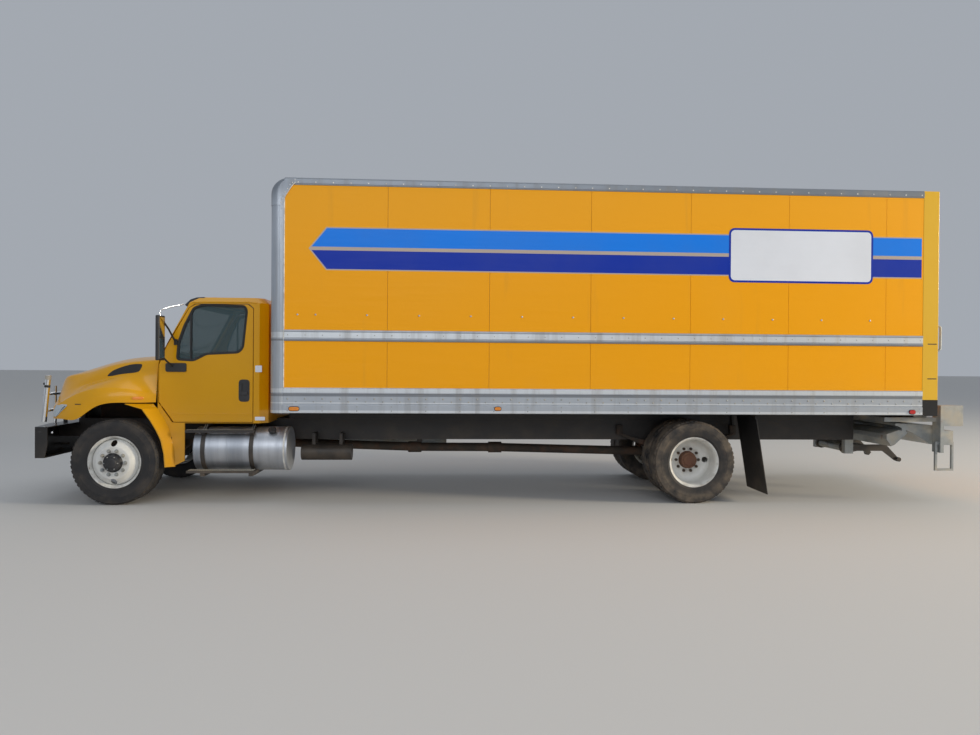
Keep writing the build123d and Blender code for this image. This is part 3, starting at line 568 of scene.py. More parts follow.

# %% [markdown]
# The rails, posts and roof edge of the box are mill-finish aluminium. It is bright where hands and
# rain keep it clean, carries thin grey runs below every seam, and turns darker towards the roof. Bright
# bands on its raised faces are painted highlights, and its grooves are darkened with painted shade.
# The fuel tank is the same metal, but rolled and brushed round its axis, so its lines run up and down
# when seen from the side; its soft up-and-down bands of lighter and darker metal are painted sheen.

# %% Bare metals
def rail_metal():
    finish = Finish("rail_aluminium")
    runs = finish.patches(0.45, 0.75, 9, 6, (1.0, 1.0, 0.08))
    patches = finish.noise(1.6, 5)
    clean = finish.mix(patches, (0.36, 0.40, 0.46), (0.52, 0.56, 0.61))
    # Painted highlights: bright bands on the raised faces, where light catches them.
    painted_highlight_bands = finish.band(1.345, 1.388) + finish.band(1.104, 1.132)
    painted_highlight_bands = painted_highlight_bands + finish.band(1.216, 1.226) + finish.band(1.990, 2.050)
    clean = finish.mix(painted_highlight_bands * 0.8, clean, (0.74, 0.78, 0.82))
    # Painted shade: dark bands in the grooves.
    painted_groove_shade = finish.band(1.300, 1.330) + finish.band(1.952, 1.972)
    clean = finish.mix(painted_groove_shade * 0.7, clean, (0.13, 0.14, 0.16))
    # Darker towards the roof.
    clean = finish.mix(finish.ramp(finish.z, 3.55, 3.78) * 0.7, clean, (0.15, 0.17, 0.20))
    dirt = runs * 0.45 + road_dust(finish, 1.5, 0.25)
    return finish.done(
        "tank_aluminium", (finish.noise(30, 3, (0.15, 1.0, 1.0)), 0.10, 0.001),
        base_color=finish.mix(dirt, clean, (0.24, 0.23, 0.22)),
        metallic=0.55, roughness=runs * 0.16 + patches * 0.12 + 0.32)


def tank_metal():
    finish = Finish("tank_aluminium")
    lines = finish.noise(55, 4, (1.0, 0.02, 0.02), 0.7)
    # Painted sheen: soft vertical bands of lighter and darker metal, for the sheen of the brushing.
    bands = finish.noise(6.5, 4, (1.0, 0.05, 0.05))
    soot = road_dust(finish, 0.85, 0.65)
    clean = finish.mix(finish.ramp(bands, 0.3, 0.7), (0.34, 0.37, 0.42), (0.58, 0.61, 0.66))
    return finish.done(
        "tank_aluminium", (lines, 0.10, 0.0006), base_color=finish.mix(soot, clean, (0.20, 0.18, 0.16)),
        metallic=0.80, roughness=lines * 0.22 + soot * 0.3 + 0.30)


def gate_metal():
    """Zinc-coated liftgate steel, grey with cream-coloured mud and a little rust."""
    finish = Finish("gate_steel")
    mud = finish.patches(0.42, 0.66, 4.0, 6)
    rust = finish.patches(0.62, 0.74, 7.5, 7)
    clean = finish.mix(finish.noise(22, 2), (0.24, 0.26, 0.27), (0.40, 0.42, 0.42))
    muddy = finish.mix(mud * 0.6, clean, (0.46, 0.40, 0.30))
    return finish.done(
        "bare_steel", (finish.noise(38, 4) + rust * 0.5, 0.16, 0.002),
        base_color=finish.mix(rust * 0.55, muddy, (0.20, 0.075, 0.03)),
        metallic=0.45 - mud * 0.35, roughness=mud * 0.25 + rust * 0.2 + 0.42)


def chrome_metal():
    finish = Finish("guard_chrome")
    haze = finish.patches(0.5, 0.8, 14, 5)
    return finish.done("chrome_tube", metallic=1.0, roughness=haze * 0.16 + 0.07,
                       base_color=finish.mix(haze * 0.3, (0.86, 0.87, 0.88), (0.45, 0.43, 0.40)))


def sooty_iron(name, colour, rust_share):
    """Axles, springs and shafts: black iron with brown rust and dried mud."""
    finish = Finish(name)
    rust = finish.patches(0.45, 0.72, 6.5, 7) * rust_share
    rusty = finish.mix(rust, colour, (0.17, 0.065, 0.028))
    return finish.done(
        "cast_grey", (finish.noise(45, 5), 0.35, 0.002), roughness=0.86 - rust * 0.1, metallic=0.15,
        base_color=finish.mix(road_dust(finish, 1.1, 0.5), rusty, dust_colour))


rail_aluminium = rail_metal()
tank_aluminium = tank_metal()
gate_steel = gate_metal()
guard_chrome = chrome_metal()
iron = sooty_iron("sooty_iron", (0.045, 0.038, 0.033), 0.4)
hub_rust = sooty_iron("hub_rust", (0.13, 0.050, 0.030), 0.9)

# %% [markdown]
# Black is never one black: frame paint is satin and dusty, moulded plastic is grained and greyer,
# rubber is flat with brown dust in its grooves. Each gets its own roughness and its own dirt.

# %% Blacks
def frame_paint():
    finish = Finish("frame_black")
    dust = road_dust(finish, 1.25, 0.5)
    return finish.done(
        "black_paint", (finish.noise(60, 3), 0.10, 0.001),
        base_color=finish.mix(dust, (0.016, 0.016, 0.018), dust_colour),
        roughness=dust * 0.4 + finish.noise(8, 4) * 0.15 + 0.36)


def bumper_paint():
    finish = Finish("bumper_black")
    dust = road_dust(finish, 1.0, 0.35)
    scrape = finish.patches(0.63, 0.70, 12, 7, (0.25, 0.25, 1.0))
    worn = finish.mix(scrape * 0.5, (0.014, 0.014, 0.015), (0.16, 0.15, 0.14))
    return finish.done(
        "black_paint", (finish.noise(70, 3), 0.06, 0.001), base_color=finish.mix(dust, worn, dust_colour),
        roughness=dust * 0.4 + scrape * 0.3 + 0.28)


def moulded_plastic():
    finish = Finish("moulded_plastic")
    grain = finish.node("ShaderNodeTexVoronoi", {"Vector": finish.place, "Scale": 420.0})
    faded = finish.patches(0.4, 0.8, 5, 4)
    return finish.done(
        "dark_plastic", (grain, 0.12, 0.0005), roughness=faded * 0.12 + 0.46,
        base_color=finish.mix(faded, (0.018, 0.018, 0.020), (0.040, 0.040, 0.043)))


def seal_rubber():
    finish = Finish("seal_rubber")
    return finish.done(
        "dark_plastic", (finish.noise(200, 2), 0.08, 0.0005), roughness=finish.noise(20, 3) * 0.15 + 0.55,
        base_color=finish.mix(finish.noise(9, 3), (0.008, 0.008, 0.009), (0.022, 0.022, 0.023)))


def wheel_distance(finish):
    """Distance from the nearer axle, seen from the side."""
    down = (finish.z - wheel_radius) * (finish.z - wheel_radius)
    front = (finish.x - axle_x) * (finish.x - axle_x) + down
    rear = (finish.x - rear_axle_x) * (finish.x - rear_axle_x) + down
    return front.at_most(rear).root()


def tyre_rubber():
    finish = Finish("tyre_rubber")
    away = wheel_distance(finish)
    tread = finish.ramp(away, wheel_radius - 0.035, wheel_radius - 0.006)
    rear_end = finish.ramp(finish.x, 0.0, 1.0)
    ring = finish.ramp(away, 0.36, 0.42) * (1 - finish.ramp(away, 0.47, 0.50))
    patches = finish.patches(0.30, 0.75, 7, 6)
    dust = (patches * (tread * 0.35 + ring * 0.30 + 0.12) * (rear_end * 0.9 + 0.35)).clamped()
    return finish.done(
        "tread_rubber", (finish.noise(120, 4), 0.20, 0.001),
        base_color=finish.mix(dust, (0.016, 0.016, 0.018), (0.27, 0.21, 0.15)),
        roughness=dust * 0.2 + finish.noise(15, 3) * 0.10 + 0.62)


def flap_rubber():
    finish = Finish("flap_rubber")
    dust = road_dust(finish, 1.0, 0.35)
    return finish.done(
        "flap_rubber", (finish.noise(50, 4), 0.15, 0.001),
        base_color=finish.mix(dust, (0.010, 0.010, 0.011), dust_colour),
        roughness=dust * 0.2 + finish.noise(10, 3) * 0.1 + 0.6)


frame_black = frame_paint()
bumper_black = bumper_paint()
plastic = moulded_plastic()
rubber_seal = seal_rubber()
tyre_black = tyre_rubber()
flap_black = flap_rubber()

# %% [markdown]
# White steel wheels gather brake dust in a ring round the nuts and along the rim's edge. The ring is
# drawn from the distance to the axle, so it sits on the wheel wherever the light comes from.

# %% White wheels, glass, lamps and graphics
def wheel_paint():
    finish = Finish("wheel_white")
    away = wheel_distance(finish)
    near_nuts = 1 - finish.ramp(away, 0.11, 0.20)
    near_edge = finish.ramp(away, 0.262, 0.300)
    patches = finish.patches(0.35, 0.70, 11, 6)
    grime = ((near_nuts * 0.6 + near_edge * 0.5 + 0.10) * patches).clamped()
    chips = finish.patches(0.66, 0.72, 34, 6) * near_edge
    dirty = finish.mix(grime, (0.72, 0.72, 0.69), (0.23, 0.19, 0.15))
    return finish.done(
        "white_wheel", (finish.noise(60, 4) + chips * 0.8, 0.10, 0.001), roughness=grime * 0.35 + 0.30,
        base_color=finish.mix(chips, dirty, (0.16, 0.07, 0.04)))


def pane_glass():
    finish = Finish("cab_glass")
    smear = finish.patches(0.5, 0.9, 6, 5)
    return finish.done("clear_glass", base_color=(0.06, 0.11, 0.12), alpha=0.50, coat_weight=0.6,
                       roughness=smear * 0.10 + 0.02)


def lamp_glass(name, colour, glow=0.0):
    finish = Finish(name)
    ribs = ((finish.x * 900).sine() + (finish.z * 900).sine()) * 0.5
    looks = {"emission_color": colour, "emission_strength": glow} if glow else {}
    return finish.done(
        "lamp_lens", (ribs, 0.10, 0.0008), **looks, coat_weight=0.8,
        base_color=finish.mix(finish.noise(30, 3), colour, [channel * 0.75 for channel in colour]),
        roughness=0.12 + finish.noise(25, 3) * 0.08)


def film(name, colour):
    """Printed film on the box side: it follows the sheet's ripple and fades in patches."""
    finish = Finish(name)
    faded = [min(1.0, channel * 0.90 + 0.015) for channel in colour]
    return finish.done(
        "yellow_paint", sheet_ripple(finish), specular_ior_level=0.22,
        base_color=finish.mix(finish.patches(0.35, 0.8, 1.1, 5), colour, faded),
        roughness=finish.noise(4, 4) * 0.10 + 0.34)


def woven_cloth():
    finish = Finish("seat_cloth")
    weave = (finish.x * 1400).sine() * (finish.z * 1400).sine() + (finish.y * 1400).sine()
    return finish.done(
        "seat_cloth", (weave, 0.25, 0.0008), roughness=finish.noise(30, 2) * 0.1 + 0.85,
        base_color=finish.mix(finish.noise(12, 4), (0.055, 0.060, 0.070), (0.11, 0.115, 0.125)))


def deck_planks():
    """Oak strips laid along the truck, worn pale where freight slides."""
    finish = Finish("deck_planks")
    strip = (finish.y * 60).sine() * 0.5 + 0.5
    grain = finish.noise(9, 6, (0.08, 1.0, 1.0))
    worn = finish.mix(grain, (0.30, 0.18, 0.085), (0.48, 0.33, 0.19))
    return finish.done(
        "deck_wood", (grain + strip * 0.2, 0.25, 0.002), roughness=grain * 0.2 + 0.55,
        base_color=finish.mix(finish.ramp(strip, 0.0, 0.06), (0.07, 0.045, 0.03), worn))


def liner_white():
    finish = Finish("liner_white")
    scuffs = finish.patches(0.55, 0.75, 5, 6, (1.0, 1.0, 0.3))
    return finish.done(
        "bare_steel", (finish.noise(30, 3), 0.12, 0.001), roughness=scuffs * 0.2 + 0.5,
        base_color=finish.mix(scuffs * 0.5, (0.62, 0.62, 0.60), (0.30, 0.28, 0.25)))


wheel_white = wheel_paint()
clear_pane = pane_glass()
lens_clear = lamp_glass("lens_clear", (0.55, 0.62, 0.66))
lens_amber = lamp_glass("lens_amber", (0.80, 0.26, 0.02), 0.05)
lens_red = lamp_glass("lens_red", (0.55, 0.015, 0.012), 0.05)
film_light_blue = film("film_light_blue", (0.004, 0.215, 0.88))
film_dark_blue = film("film_dark_blue", (0.001, 0.030, 0.39))
film_white = film("film_white", (0.78, 0.82, 0.90))
film_edge = film("film_edge", (0.50, 0.42, 0.36))
seat_cloth = woven_cloth()
planks = deck_planks()
liner = liner_white()
print("finishes", len(bpy.data.materials))

# %% [markdown]
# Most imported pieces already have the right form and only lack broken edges. A copy of the piece is
# merged from loose triangles back into flat faces, gets a small bevel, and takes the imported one's
# place to the millimetre.

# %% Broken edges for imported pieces
flat_angle = radians(1.2)


def dress(node, finish, bevel=0.003, segments=2):
    """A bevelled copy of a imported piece, standing in its place."""
    mesh = frame["nodes"][node].data.copy()
    with reshaped(mesh) as shape:
        weld(shape, recalculate=False)
        bmesh.ops.dissolve_limit(shape, angle_limit=flat_angle, verts=shape.verts, edges=shape.edges)
    body = frame["nodes"][node]["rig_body"]
    piece = finish_piece(mesh, node + "_dressed", finish, bevel, segments, body, recalculate=False)
    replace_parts(piece, node)


# %% [markdown]
# Rivets, nuts, tread blocks and slats repeat by a rule, so Geometry Nodes make them. Each tree below
# has named inputs for its sizes and ends in real faces. `grow` fills in the inputs by their
# identifiers, evaluates the tree and keeps the plain mesh.

# %% Patterns from Geometry Nodes
class Pattern(Wiring):
    """A Geometry Nodes tree with named inputs that ends in real faces with one finish."""

    def __init__(self, name, **sizes):
        super().__init__(bpy.data.node_groups.new(name, "GeometryNodeTree"))
        interface = self.tree.interface
        interface.new_socket("Geometry", in_out="OUTPUT", socket_type="NodeSocketGeometry")
        for title, kind in {**sizes, "Finish": "Material"}.items():
            interface.new_socket(title, in_out="INPUT", socket_type="NodeSocket" + kind)
        entry = self.tree.nodes.new("NodeGroupInput")
        self.size = {socket.name: Signal(self, socket) for socket in entry.outputs if socket.name}
        self.identifiers = {
            item.name: item.identifier for item in interface.items_tree if item.in_out == "INPUT"}

    def line(self):
        size = self.size
        return self.node("GeometryNodeMeshLine", {
            "Count": size["Count"], "Start Location": size["Start"], "Offset": size["Step"]}, mode="OFFSET")

    def circle(self):
        size = self.size
        return self.node("GeometryNodeMeshCircle", {"Vertices": size["Count"], "Radius": size["Circle"]})

    def moved(self, geometry, **how):
        return self.node("GeometryNodeTransform", {"Geometry": geometry, **how})

    def repeated(self, points, form, **how):
        return self.node("GeometryNodeInstanceOnPoints", {"Points": points, "Instance": form, **how})

    def end(self, geometry):
        real = self.node("GeometryNodeRealizeInstances", {"Geometry": geometry})
        painted = self.node("GeometryNodeSetMaterial", {"Geometry": real, "Material": self.size["Finish"]})
        way_out = self.tree.nodes.new("NodeGroupOutput")
        self.tree.links.new(painted.socket, way_out.inputs["Geometry"])
        return self

    def grow(self, name, finish, rows, body="chassis"):
        """One piece from a list of rows, each a dictionary of sizes."""
        mesh = bpy.data.meshes.new(name)
        with reshaped(mesh) as shape:
            for row in rows:
                carrier = linked("carrier", bpy.data.meshes.new("carrier"))
                modifier = carrier.modifiers.new("pattern", "NODES")
                modifier.node_group = self.tree
                for title, value in {**row, "Finish": finish[0]}.items():
                    modifier[self.identifiers[title]] = value
                shape.from_mesh(evaluated_mesh(carrier))
                bpy.data.objects.remove(carrier)
        return finish_piece(mesh, name, finish, body=body)


on_edge = (pi / 2, 0, 0)


def dome_row_tree():
    """A straight row of rivet heads."""
    tree = Pattern("rivet_row", Start="Vector", Step="Vector", Count="Int", Radius="Float", Squash="Vector")
    head = tree.node("GeometryNodeMeshUVSphere", {"Segments": 8, "Rings": 6, "Radius": tree.size["Radius"]})
    return tree.end(tree.repeated(tree.line(), head, Scale=tree.size["Squash"]))


def nut_ring_tree():
    """Nuts in a circle about an axis along Y."""
    tree = Pattern("nut_ring", Centre="Vector", Circle="Float", Count="Int", Sides="Int", Radius="Float",
                   Height="Float")
    nut = tree.node("GeometryNodeMeshCylinder", {
        "Vertices": tree.size["Sides"], "Radius": tree.size["Radius"], "Depth": tree.size["Height"]})
    upright = tree.moved(tree.repeated(tree.circle(), nut), Rotation=on_edge)
    return tree.end(tree.moved(upright, Translation=tree.size["Centre"]))


def block_ring_tree():
    """Tread blocks round a tyre, each turned to face outwards and set at a slant."""
    tree = Pattern("tread_ring", Centre="Vector", Circle="Float", Count="Int", Size="Vector", Slant="Float")
    outwards = tree.node("GeometryNodeInputPosition")
    turn = tree.node("FunctionNodeAlignRotationToVector", {"Vector": outwards}, axis="Z", pivot_axis="Y")
    block = tree.node("GeometryNodeMeshCube", {"Size": tree.size["Size"]})
    slant = tree.node("ShaderNodeCombineXYZ", {"Z": tree.size["Slant"]})
    turned = tree.moved(block, Rotation=slant)
    ring = tree.repeated(tree.moved(tree.circle(), Rotation=on_edge), turned, Rotation=turn)
    return tree.end(tree.moved(ring, Translation=tree.size["Centre"]))


def slat_row_tree():
    """A row of bars, such as slats, planks or hinge knuckles."""
    tree = Pattern("slat_row", Start="Vector", Step="Vector", Count="Int", Size="Vector", Tilt="Vector")
    bar = tree.node("GeometryNodeMeshCube", {"Size": tree.size["Size"]})
    return tree.end(tree.repeated(tree.line(), tree.moved(bar, Rotation=tree.size["Tilt"])))


rivet_row = dome_row_tree()
nut_ring = nut_ring_tree()
tread_ring = block_ring_tree()
slat_row = slat_row_tree()
bulge = (1, 0.5, 1)


def rivets(start, end, pitch, radius=0.007, squash=bulge):
    """Settings of a row of rivets from start to end, at about the given pitch."""
    first, last = Vector(start), Vector(end)
    count = max(2, round((last - first).length / pitch) + 1)
    return {"Start": first, "Step": (last - first) / (count - 1), "Count": count, "Radius": radius,
            "Squash": Vector(squash)}


def slats(start, step, count, size, tilt=(0, 0, 0)):
    return {"Start": Vector(start), "Step": Vector(step), "Count": count, "Size": Vector(size),
            "Tilt": Vector(tilt)}


print("patterns", [tree.tree.name for tree in (rivet_row, nut_ring, tread_ring, slat_row)])

# %% [markdown]
# The hood is the hardest form on the truck: one moulding whose middle rises like a bonnet while its
# sides swell over the wheels, with a valley between. It is drawn as a net of nine lines across and
# nine along, which a subdivision surface rounds. Rounding pulls a surface away from its net, so the
# net is moved until the rounded surface passes through the drawn points again. The valley, the
# shoulder and the fender's edge are creased a little, because the moulding has a visible bend there.

# %% Hood net
# Each row goes from the cab to the nose. A point is its distance behind the axle, half width, height.
hood_net = [
    [(.412, 0, 1.770), (.2, 0, 1.766), (-.02, 0, 1.752), (-.24, 0, 1.71), (-.44, 0, 1.655),
     (-.60, 0, 1.608), (-.73, 0, 1.565), (-.86, 0, 1.495), (-.935, 0, 1.39)],
    [(.412, .55, 1.757), (.2, .54, 1.75), (-.02, .52, 1.735), (-.24, .49, 1.695), (-.44, .46, 1.64),
     (-.60, .43, 1.59), (-.73, .40, 1.545), (-.85, .37, 1.475), (-.93, .34, 1.385)],
    [(.412, .90, 1.72), (.2, .88, 1.70), (-.02, .85, 1.675), (-.24, .81, 1.63), (-.44, .76, 1.57),
     (-.60, .72, 1.535), (-.74, .66, 1.515), (-.86, .56, 1.475), (-.935, .44, 1.375)],
    [(.412, .95, 1.66), (.2, .935, 1.63), (-.02, .91, 1.60), (-.24, .88, 1.555), (-.44, .84, 1.50),
     (-.60, .79, 1.455), (-.74, .72, 1.42), (-.875, .60, 1.38), (-.95, .457, 1.33)],
    [(.412, .965, 1.585), (.2, .955, 1.555), (-.02, .94, 1.52), (-.24, .915, 1.47), (-.44, .885, 1.415),
     (-.60, .85, 1.37), (-.755, .78, 1.315), (-.885, .645, 1.28), (-.955, .46, 1.265)],
    [(.412, .985, 1.38), (.2, 1.02, 1.425), (-.02, 1.045, 1.44), (-.24, 1.035, 1.415), (-.44, 1.0, 1.36),
     (-.60, .955, 1.28), (-.765, .88, 1.21), (-.895, .70, 1.20), (-.957, .464, 1.21)],
    [(.412, 1.0, 1.26), (.2, 1.095, 1.352), (-.02, 1.125, 1.378), (-.24, 1.12, 1.365), (-.44, 1.09, 1.315),
     (-.60, 1.045, 1.245), (-.775, .955, 1.165), (-.90, .75, 1.14), (-.958, .466, 1.15)],
    [(.412, 1.008, 1.228), (.2, 1.118, 1.285), (-.02, 1.158, 1.30), (-.24, 1.158, 1.275), (-.44, 1.14, 1.17),
     (-.60, 1.09, 1.10), (-.77, .985, 1.08), (-.895, .77, 1.075), (-.958, .468, 1.08)],
    [(.412, 1.010, 1.205), (.2, 1.115, 1.205), (-.02, 1.165, 1.205), (-.24, 1.165, 1.150),
     (-.44, 1.150, 1.013), (-.60, 1.10, 1.005), (-.76, 1.0, 1.005), (-.89, .78, 1.005), (-.955, .47, 1.005)],
]
hood_columns = len(hood_net[0])
hood_creases = {2: 0.40, 4: 0.50, 6: 0.65}
hood_levels = 3
hood_wall = 0.012
fitting_rounds = 8
fitting_share = 0.8
surface_weld = 0.0001

# A surface that is open below is judged from a point this far under its middle.
judging_drop = 0.5


def rounded_net(points, levels):
    """The plain mesh of the hood's net and its mirror image after subdivision."""
    mesh = mesh_of("hood_net", points, grid_faces(len(hood_net), hood_columns, False, False))
    layer = mesh.attributes.new("crease_edge", "FLOAT", "EDGE")
    for edge in mesh.edges:
        row_a, row_b = (vertex // hood_columns for vertex in edge.vertices)
        if row_a == row_b and row_a in hood_creases:
            layer.data[edge.index].value = hood_creases[row_a]
    carrier = linked("hood_net", mesh)
    mirror = carrier.modifiers.new("other_side", "MIRROR")
    mirror.use_axis = (False, True, False)
    mirror.use_clip = True
    smooth = carrier.modifiers.new("rounding", "SUBSURF")
    smooth.levels = smooth.render_levels = levels
    smooth.boundary_smooth = "PRESERVE_CORNERS"
    made = evaluated_mesh(carrier)
    bpy.data.objects.remove(carrier)
    return made


def settled_net():
    """Net points moved until the rounded surface passes through the drawn ones."""
    drawn = [Vector(point) for row in hood_net for point in placed(row)]
    points = [point.copy() for point in drawn]
    for _ in range(fitting_rounds):
        made = rounded_net(points, 1)
        misses = [wanted - vertex.co for wanted, vertex in zip(drawn, made.vertices)]
        bpy.data.meshes.remove(made)
        for index, miss in enumerate(misses):
            points[index] += miss * fitting_share
            if drawn[index].y == 0:
                points[index].y = 0
    worst = max(miss.length for miss in misses)
    print("hood passes within", round(worst * 1000, 2), "mm of its drawn points")
    return points


def thicken(mesh, wall):
    """Gives an open surface a wall inwards, once its faces point out."""
    with reshaped(mesh) as shape:
        weld(shape, surface_weld)
        middle = sum((v.co for v in shape.verts), Vector()) / len(shape.verts)
        middle.z -= judging_drop
        outward = sum(f.normal.dot(f.calc_center_median() - middle) * f.calc_area() for f in shape.faces)
        if outward < 0:
            bmesh.ops.reverse_faces(shape, faces=shape.faces)
        bmesh.ops.solidify(shape, geom=shape.faces[:], thickness=wall)
    return mesh


def points_and_faces(mesh):
    return [vertex.co for vertex in mesh.vertices], [face.vertices for face in mesh.polygons]


hood_skin = thicken(rounded_net(settled_net(), hood_levels), hood_wall)
hood_piece = finish_piece(hood_skin, "hood_moulding", cab_yellow, body="hood", recalculate=False)
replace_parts(hood_piece, "hood")
hood_tree = BVHTree.FromPolygons(*points_and_faces(hood_skin))
print("hood faces", len(hood_skin.polygons))

# %% [markdown]
# Small fittings lie on the hood's curved side. A ray along Y finds the surface, so an outline drawn
# in side view is laid on it point by point, a little proud of the paint.

# %% Fittings draped on the hood
patch_rings = 3


def on_hood(distance, height, side, lift):
    """The point of the hood's side seen at this place from the left or right."""
    hit = hood_tree.ray_cast(Vector((at(distance), side * 3.0, height)), Vector((0, -side, 0)))[0]
    return hit + Vector((0, side * lift, 0))


def draped(name, outline, finish, lift, depth=0.010, bevel=0.0015):
    """A thin patch with a given side-view outline, laid on both sides of the hood."""
    draft = Draft()
    count = len(outline)
    centre_x, centre_z = (sum(numbers) / count for numbers in zip(*outline))
    hub = patch_rings * count
    last = hub - count
    faces = grid_faces(patch_rings, count)
    faces += [(last + i, last + (i + 1) % count, hub) for i in range(count)]
    faces += [(i, (i + 1) % count, hub + 1 + (i + 1) % count, hub + 1 + i) for i in range(count)]
    faces.append(tuple(hub + 1 + i for i in range(count)))
    shares = [ring / patch_rings for ring in range(patch_rings, 0, -1)]
    for side in (-1, 1):
        points = [on_hood(centre_x + (x - centre_x) * share, centre_z + (z - centre_z) * share, side, lift)
                  for share in shares for x, z in outline]
        points.append(on_hood(centre_x, centre_z, side, lift))
        draft.add(points + [on_hood(x, z, side, lift - depth) for x, z in outline], faces)
    draft.piece(name, finish, bevel, body="hood")


def smooth_loop(points, steps=4):
    """A closed line of points rounded by a Catmull-Rom curve."""
    count = len(points)
    line = []
    for i in range(count):
        a, b, c, d = (Vector(points[(i + k) % count]) for k in (-1, 0, 1, 2))
        for t in [step / steps for step in range(steps)]:
            line.append(tuple(0.5 * (2 * b + (c - a) * t + (2 * a - 5 * b + 4 * c - d) * t * t
                                     + (3 * b - a - 3 * c + d) * t * t * t)))
    return line


vent_outline = smooth_loop([
    (-.20, 1.518), (-.145, 1.578), (-.045, 1.622), (.055, 1.652), (.155, 1.664), (.217, 1.654),
    (.200, 1.589), (.155, 1.562), (.055, 1.549), (-.045, 1.536), (-.145, 1.516)])
lamp_outline = smooth_loop([(-.775, 1.03), (-.758, 1.10), (-.715, 1.168), (-.625, 1.178), (-.585, 1.168),
                            (-.63, 1.120), (-.68, 1.078), (-.715, 1.045)])
draped("hood_vents", vent_outline, rubber_seal, 0.002)
draped("headlamp_lenses", lamp_outline, lens_clear, 0.006, 0.02, 0.003)
draped("hood_side_markers", rounded(.185, .295, 1.240, 1.276, 0.016), lens_amber, 0.010, 0.015, 0.003)
draped("hood_latches", rounded(-.475, -.395, 1.180, 1.190, 0.0049, 3), rubber_seal, 0.004)

# %% [markdown]
# The nose carries a tall grille of dark slats in a plain frame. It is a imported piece, with a fine
# mesh of slats and stays added between its bars.

# %% Grille and lamps on the nose
grille_low, grille_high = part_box("grille")
grille_middle = (grille_low.z + grille_high.z) / 2
mesh_pitch, mesh_count = 0.0115, 23
stay_pitch, stay_count = 0.045, 19
dress("grille", plastic, 0.002)
slat_row.grow("grille_mesh", plastic, [slats(
    (grille_low.x + 0.022, 0, grille_low.z + 0.040), (0, 0, mesh_pitch), mesh_count,
    (0.010, 0.84, 0.0035), (0, radians(20), 0))], "hood")
slat_row.grow("grille_stays", plastic, [slats(
    (grille_low.x + 0.026, -0.405, grille_middle), (0, stay_pitch, 0), stay_count,
    (0.008, 0.0035, 0.275))], "hood")
wear(frame["nodes"]["headlamps"].data, lens_clear)

# %% [markdown]
# A heavy truck tyre is a turned form: bulging sidewalls with a few moulded rings, a square shoulder
# and four grooves round the tread. The lathe draws the section and a pattern adds the shoulder lugs.

# %% Tyres
tyre_half_width = (front_tyre_high.y - front_tyre_low.y) / 2
tread_half = tyre_half_width - 0.028
groove_depth = 0.013
groove_places = (-0.066, -0.024, 0.024, 0.066)
groove_half = 0.006
lug_count = 54
lug_size = (0.036, 0.030, 0.014)
lug_slant = radians(12)
round_sides = 96
hub_sides = 64

# Each point of the sidewall is its radius and its share of the tyre's half width.
sidewall = [(0.480, 0.990), (0.472, 0.978), (0.462, 0.995), (0.440, 1.0), (0.418, 1.0), (0.4165, 1.012),
            (0.4125, 1.012), (0.411, 1.0), (0.372, 0.985), (0.340, 0.945), (0.3385, 0.957), (0.3345, 0.955),
            (0.333, 0.935), (0.310, 0.870), (0.302, 0.800), (0.292, 0.755)]


def outwards(profile, turn):
    """(radius, Y) points with their Y made larger, smaller or turned over."""
    return [(radius, turn * y) for radius, y in profile]


def tyre_section():
    """The tread from shoulder to shoulder, then down one sidewall and up the other."""
    line = [(wheel_radius - 0.012, -tread_half - 0.004), (wheel_radius - 0.003, -tread_half + 0.006)]
    for middle in groove_places:
        for y, depth in ((-groove_half, 0.001), (-groove_half + 0.002, groove_depth),
                         (groove_half - 0.002, groove_depth), (groove_half, 0.001)):
            line.append((wheel_radius - depth, middle + y))
    line += [(wheel_radius - 0.003, tread_half - 0.006), (wheel_radius - 0.012, tread_half + 0.004)]
    wall = outwards(sidewall, tyre_half_width)
    return line + wall + outwards(reversed(wall), -1)


def build_tyre(name, body, centre):
    Draft().lathe(tyre_section(), centre, round_sides, closed=True).piece(name, tyre_black, body=body)
    lugs = [{"Centre": Vector(centre) + Vector((0, side * (tread_half - 0.012), 0)),
             "Circle": wheel_radius - 0.0072, "Count": lug_count, "Size": Vector(lug_size),
             "Slant": side * lug_slant} for side in (-1, 1)]
    tread_ring.grow(name + "_lugs", tyre_black, lugs, body)


# %% [markdown]
# The front wheel is a bulging disc with ten nuts and a round black hub cap; the rear one is dished
# deep so that two wheels can share one hub. Both are pressed steel painted white, with two hand holes.

# %% Rims
nut_circle = 0.1429
nut_radius = 0.0185
stud_size = (12, 0.010, 0.022)
hand_hole_circle = 0.224
hand_hole_radius = 0.036
rim_lip = 0.1215
disc_plate = 0.009
corner_segments = 4
front_wheel_y = 1.050
rear_wheel_y = 0.912
rear_wheel_half_gap = 0.168

